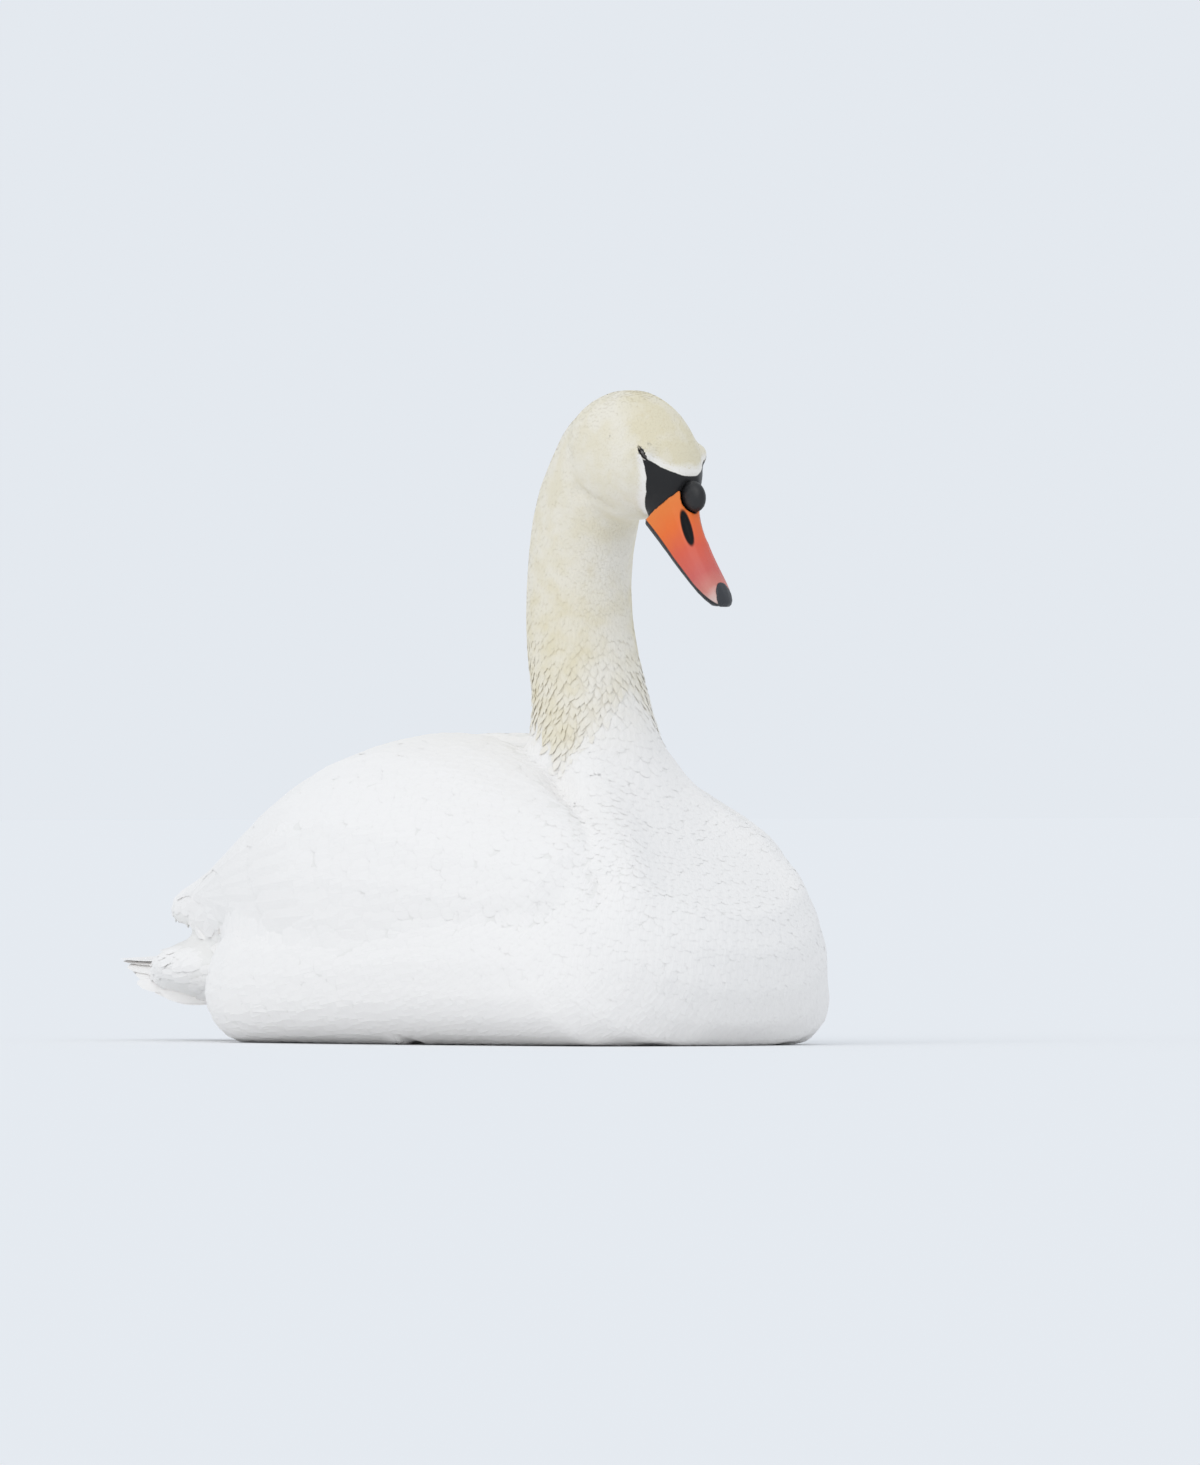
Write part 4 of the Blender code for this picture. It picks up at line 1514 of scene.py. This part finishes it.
eye_finish, tree, shader = material("eye", Roughness=0.06, Coat_Weight=1.0, Coat_Roughness=0.03)
brown = tree.mix("RGBA", noise(tree, 400.0), (0.010, 0.006, 0.004, 1), (0.030, 0.016, 0.009, 1))
tree.link(brown, shader.inputs["Base Color"])
lid_finish, tree, shader = material("eyelid", Roughness=0.55)
pale = tree.mix("RGBA", noise(tree, 900.0), (0.70, 0.67, 0.60, 1), (0.86, 0.83, 0.75, 1))
margin = remap(tree, read(tree, "rim"), 0.04, 0.14, 1.0, 0.0)
tree.link(tree.mix("RGBA", margin, pale, BLACK), shader.inputs["Base Color"])
bump(tree, shader, noise(tree, 1500.0, 2.0), 0.3, 0.0003)
eyeballs, eyelids = {}, {}
for side, centre in eye_centres.items():
    eyeballs[side] = ball("eyeball_" + side, centre, EYE_RADIUS - BALL_GAP)
    eyelids[side] = lids(side)
    finish_with(eyeballs[side], eye_finish)
    finish_with(eyelids[side], lid_finish)
    print("The lids of the", side, "eye have", len(eyelids[side].data.polygons), "faces")


# %% [markdown]
# ## The feet
# The folded feet keep the frame's own solids. Scales on a swan's foot are small plates, which a Voronoi
# pattern gives as bump.

# %% Foot skin
foot_finish, tree, shader = material("foot skin", Base_Color=(0.028, 0.028, 0.030, 1), Roughness=0.6)
source = tree.node("ShaderNodeTexCoord").outputs["Object"]
cells = tree.node("ShaderNodeTexVoronoi", {"Scale": 420.0, "Vector": source}, feature="DISTANCE_TO_EDGE")
bump(tree, shader, remap(tree, cells.outputs["Distance"], 0.0, 0.25), 0.5, 0.0006)
for side in ("left", "right"):
    for slot in nodes["leg_" + side].material_slots:
        slot.material = foot_finish
print("The feet wear", foot_finish.name)


# %% [markdown]
# ## Joining the frame
# Each piece rides on the model's one body, and the nodes a piece stands for are hidden.

# %% Ride and replace
CREAM_COATS = ("plumage_head_left", "plumage_head_right", "plumage_neck")
for helper in (form, *vanes.values()):
    bpy.data.objects.remove(helper)


def join_frame(made, slot, *replaced):
    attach(made, "root")
    if replaced:
        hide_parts(*replaced)


join_frame(skin, "white_plumage", *FLESH)
for name, made in coats.items():
    join_frame(made, "cream_plumage" if name in CREAM_COATS else "white_plumage")
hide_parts("tail")
join_frame(bill_upper, "orange_bill", "bill_upper")
join_frame(bill_lower, "black_horn", "bill_lower")
join_frame(nail, "black_horn", "bill_nail")
join_frame(knob, "black_skin", "bill_knob")
for side in eye_centres:
    join_frame(eyeballs[side], "eye", "eye_" + side)
    join_frame(eyelids[side], "black_skin")


# %% [markdown]
# ## Studio
# A pale floor runs out to the horizon under a sky of the same colour, so no line shows where they meet. A
# broad soft sun from the front left of the camera gives the white bird its gentle shading.

# %% Floor and light
FLOOR_SIZE = 60.0
FLOOR_COLOUR = (0.873, 0.880, 0.889, 1)
SKY_COLOUR = (0.775, 0.815, 0.865, 1)
TOWARDS_LIGHT = Vector((-0.85, -0.25, 0.75))

shape = bmesh.new()
bmesh.ops.create_grid(shape, x_segments=1, y_segments=1, size=FLOOR_SIZE)
floor = new_object("floor", shape)
floor_finish, _, _ = material(
    "pale floor", Base_Color=FLOOR_COLOUR, Roughness=1.0, Specular_IOR_Level=0.0
)
finish_with(floor, floor_finish)

world = bpy.data.worlds.new("studio")
scene.world = world
world.use_nodes = True
background = world.node_tree.nodes["Background"].inputs
background["Color"].default_value = SKY_COLOUR
background["Strength"].default_value = 1.0

sun_data = bpy.data.lights.new("soft sun", "SUN")
sun_data.energy = 0.6
sun_data.angle = math.radians(50)
sun_data.color = (1.0, 0.985, 0.96)
sun = bpy.data.objects.new("soft sun", sun_data)
scene.collection.objects.link(sun)
sun.rotation_euler = TOWARDS_LIGHT.normalized().to_track_quat("Z", "Y").to_euler()
print("Sun of energy", round(sun_data.energy, 2), "over a floor of", 2 * FLOOR_SIZE, "m")


# %% Camera
CAMERA_AZIMUTH = math.radians(-42.0)
CAMERA_DISTANCE, CAMERA_HEIGHT = 22.0, 0.22
TARGET = Vector((0.0232, -0.1570, 0.2396))
FRAME_HEIGHT = 1.1269

lens = bpy.data.cameras.new("camera")
camera = bpy.data.objects.new("camera", lens)
scene.collection.objects.link(camera)
back = Vector((math.sin(CAMERA_AZIMUTH), -math.cos(CAMERA_AZIMUTH), 0.0))
camera.location = TARGET + back * CAMERA_DISTANCE
camera.location.z = CAMERA_HEIGHT
camera.rotation_euler = (TARGET - camera.location).to_track_quat("-Z", "Y").to_euler()
lens.sensor_fit = "VERTICAL"
lens.sensor_height = 36.0
lens.sensor_width = 36.0
lens.lens = lens.sensor_height * CAMERA_DISTANCE / FRAME_HEIGHT
scene.camera = camera
scene.view_settings.view_transform = "Standard"
print("A lens of", round(lens.lens), "mm from", CAMERA_DISTANCE, "m")
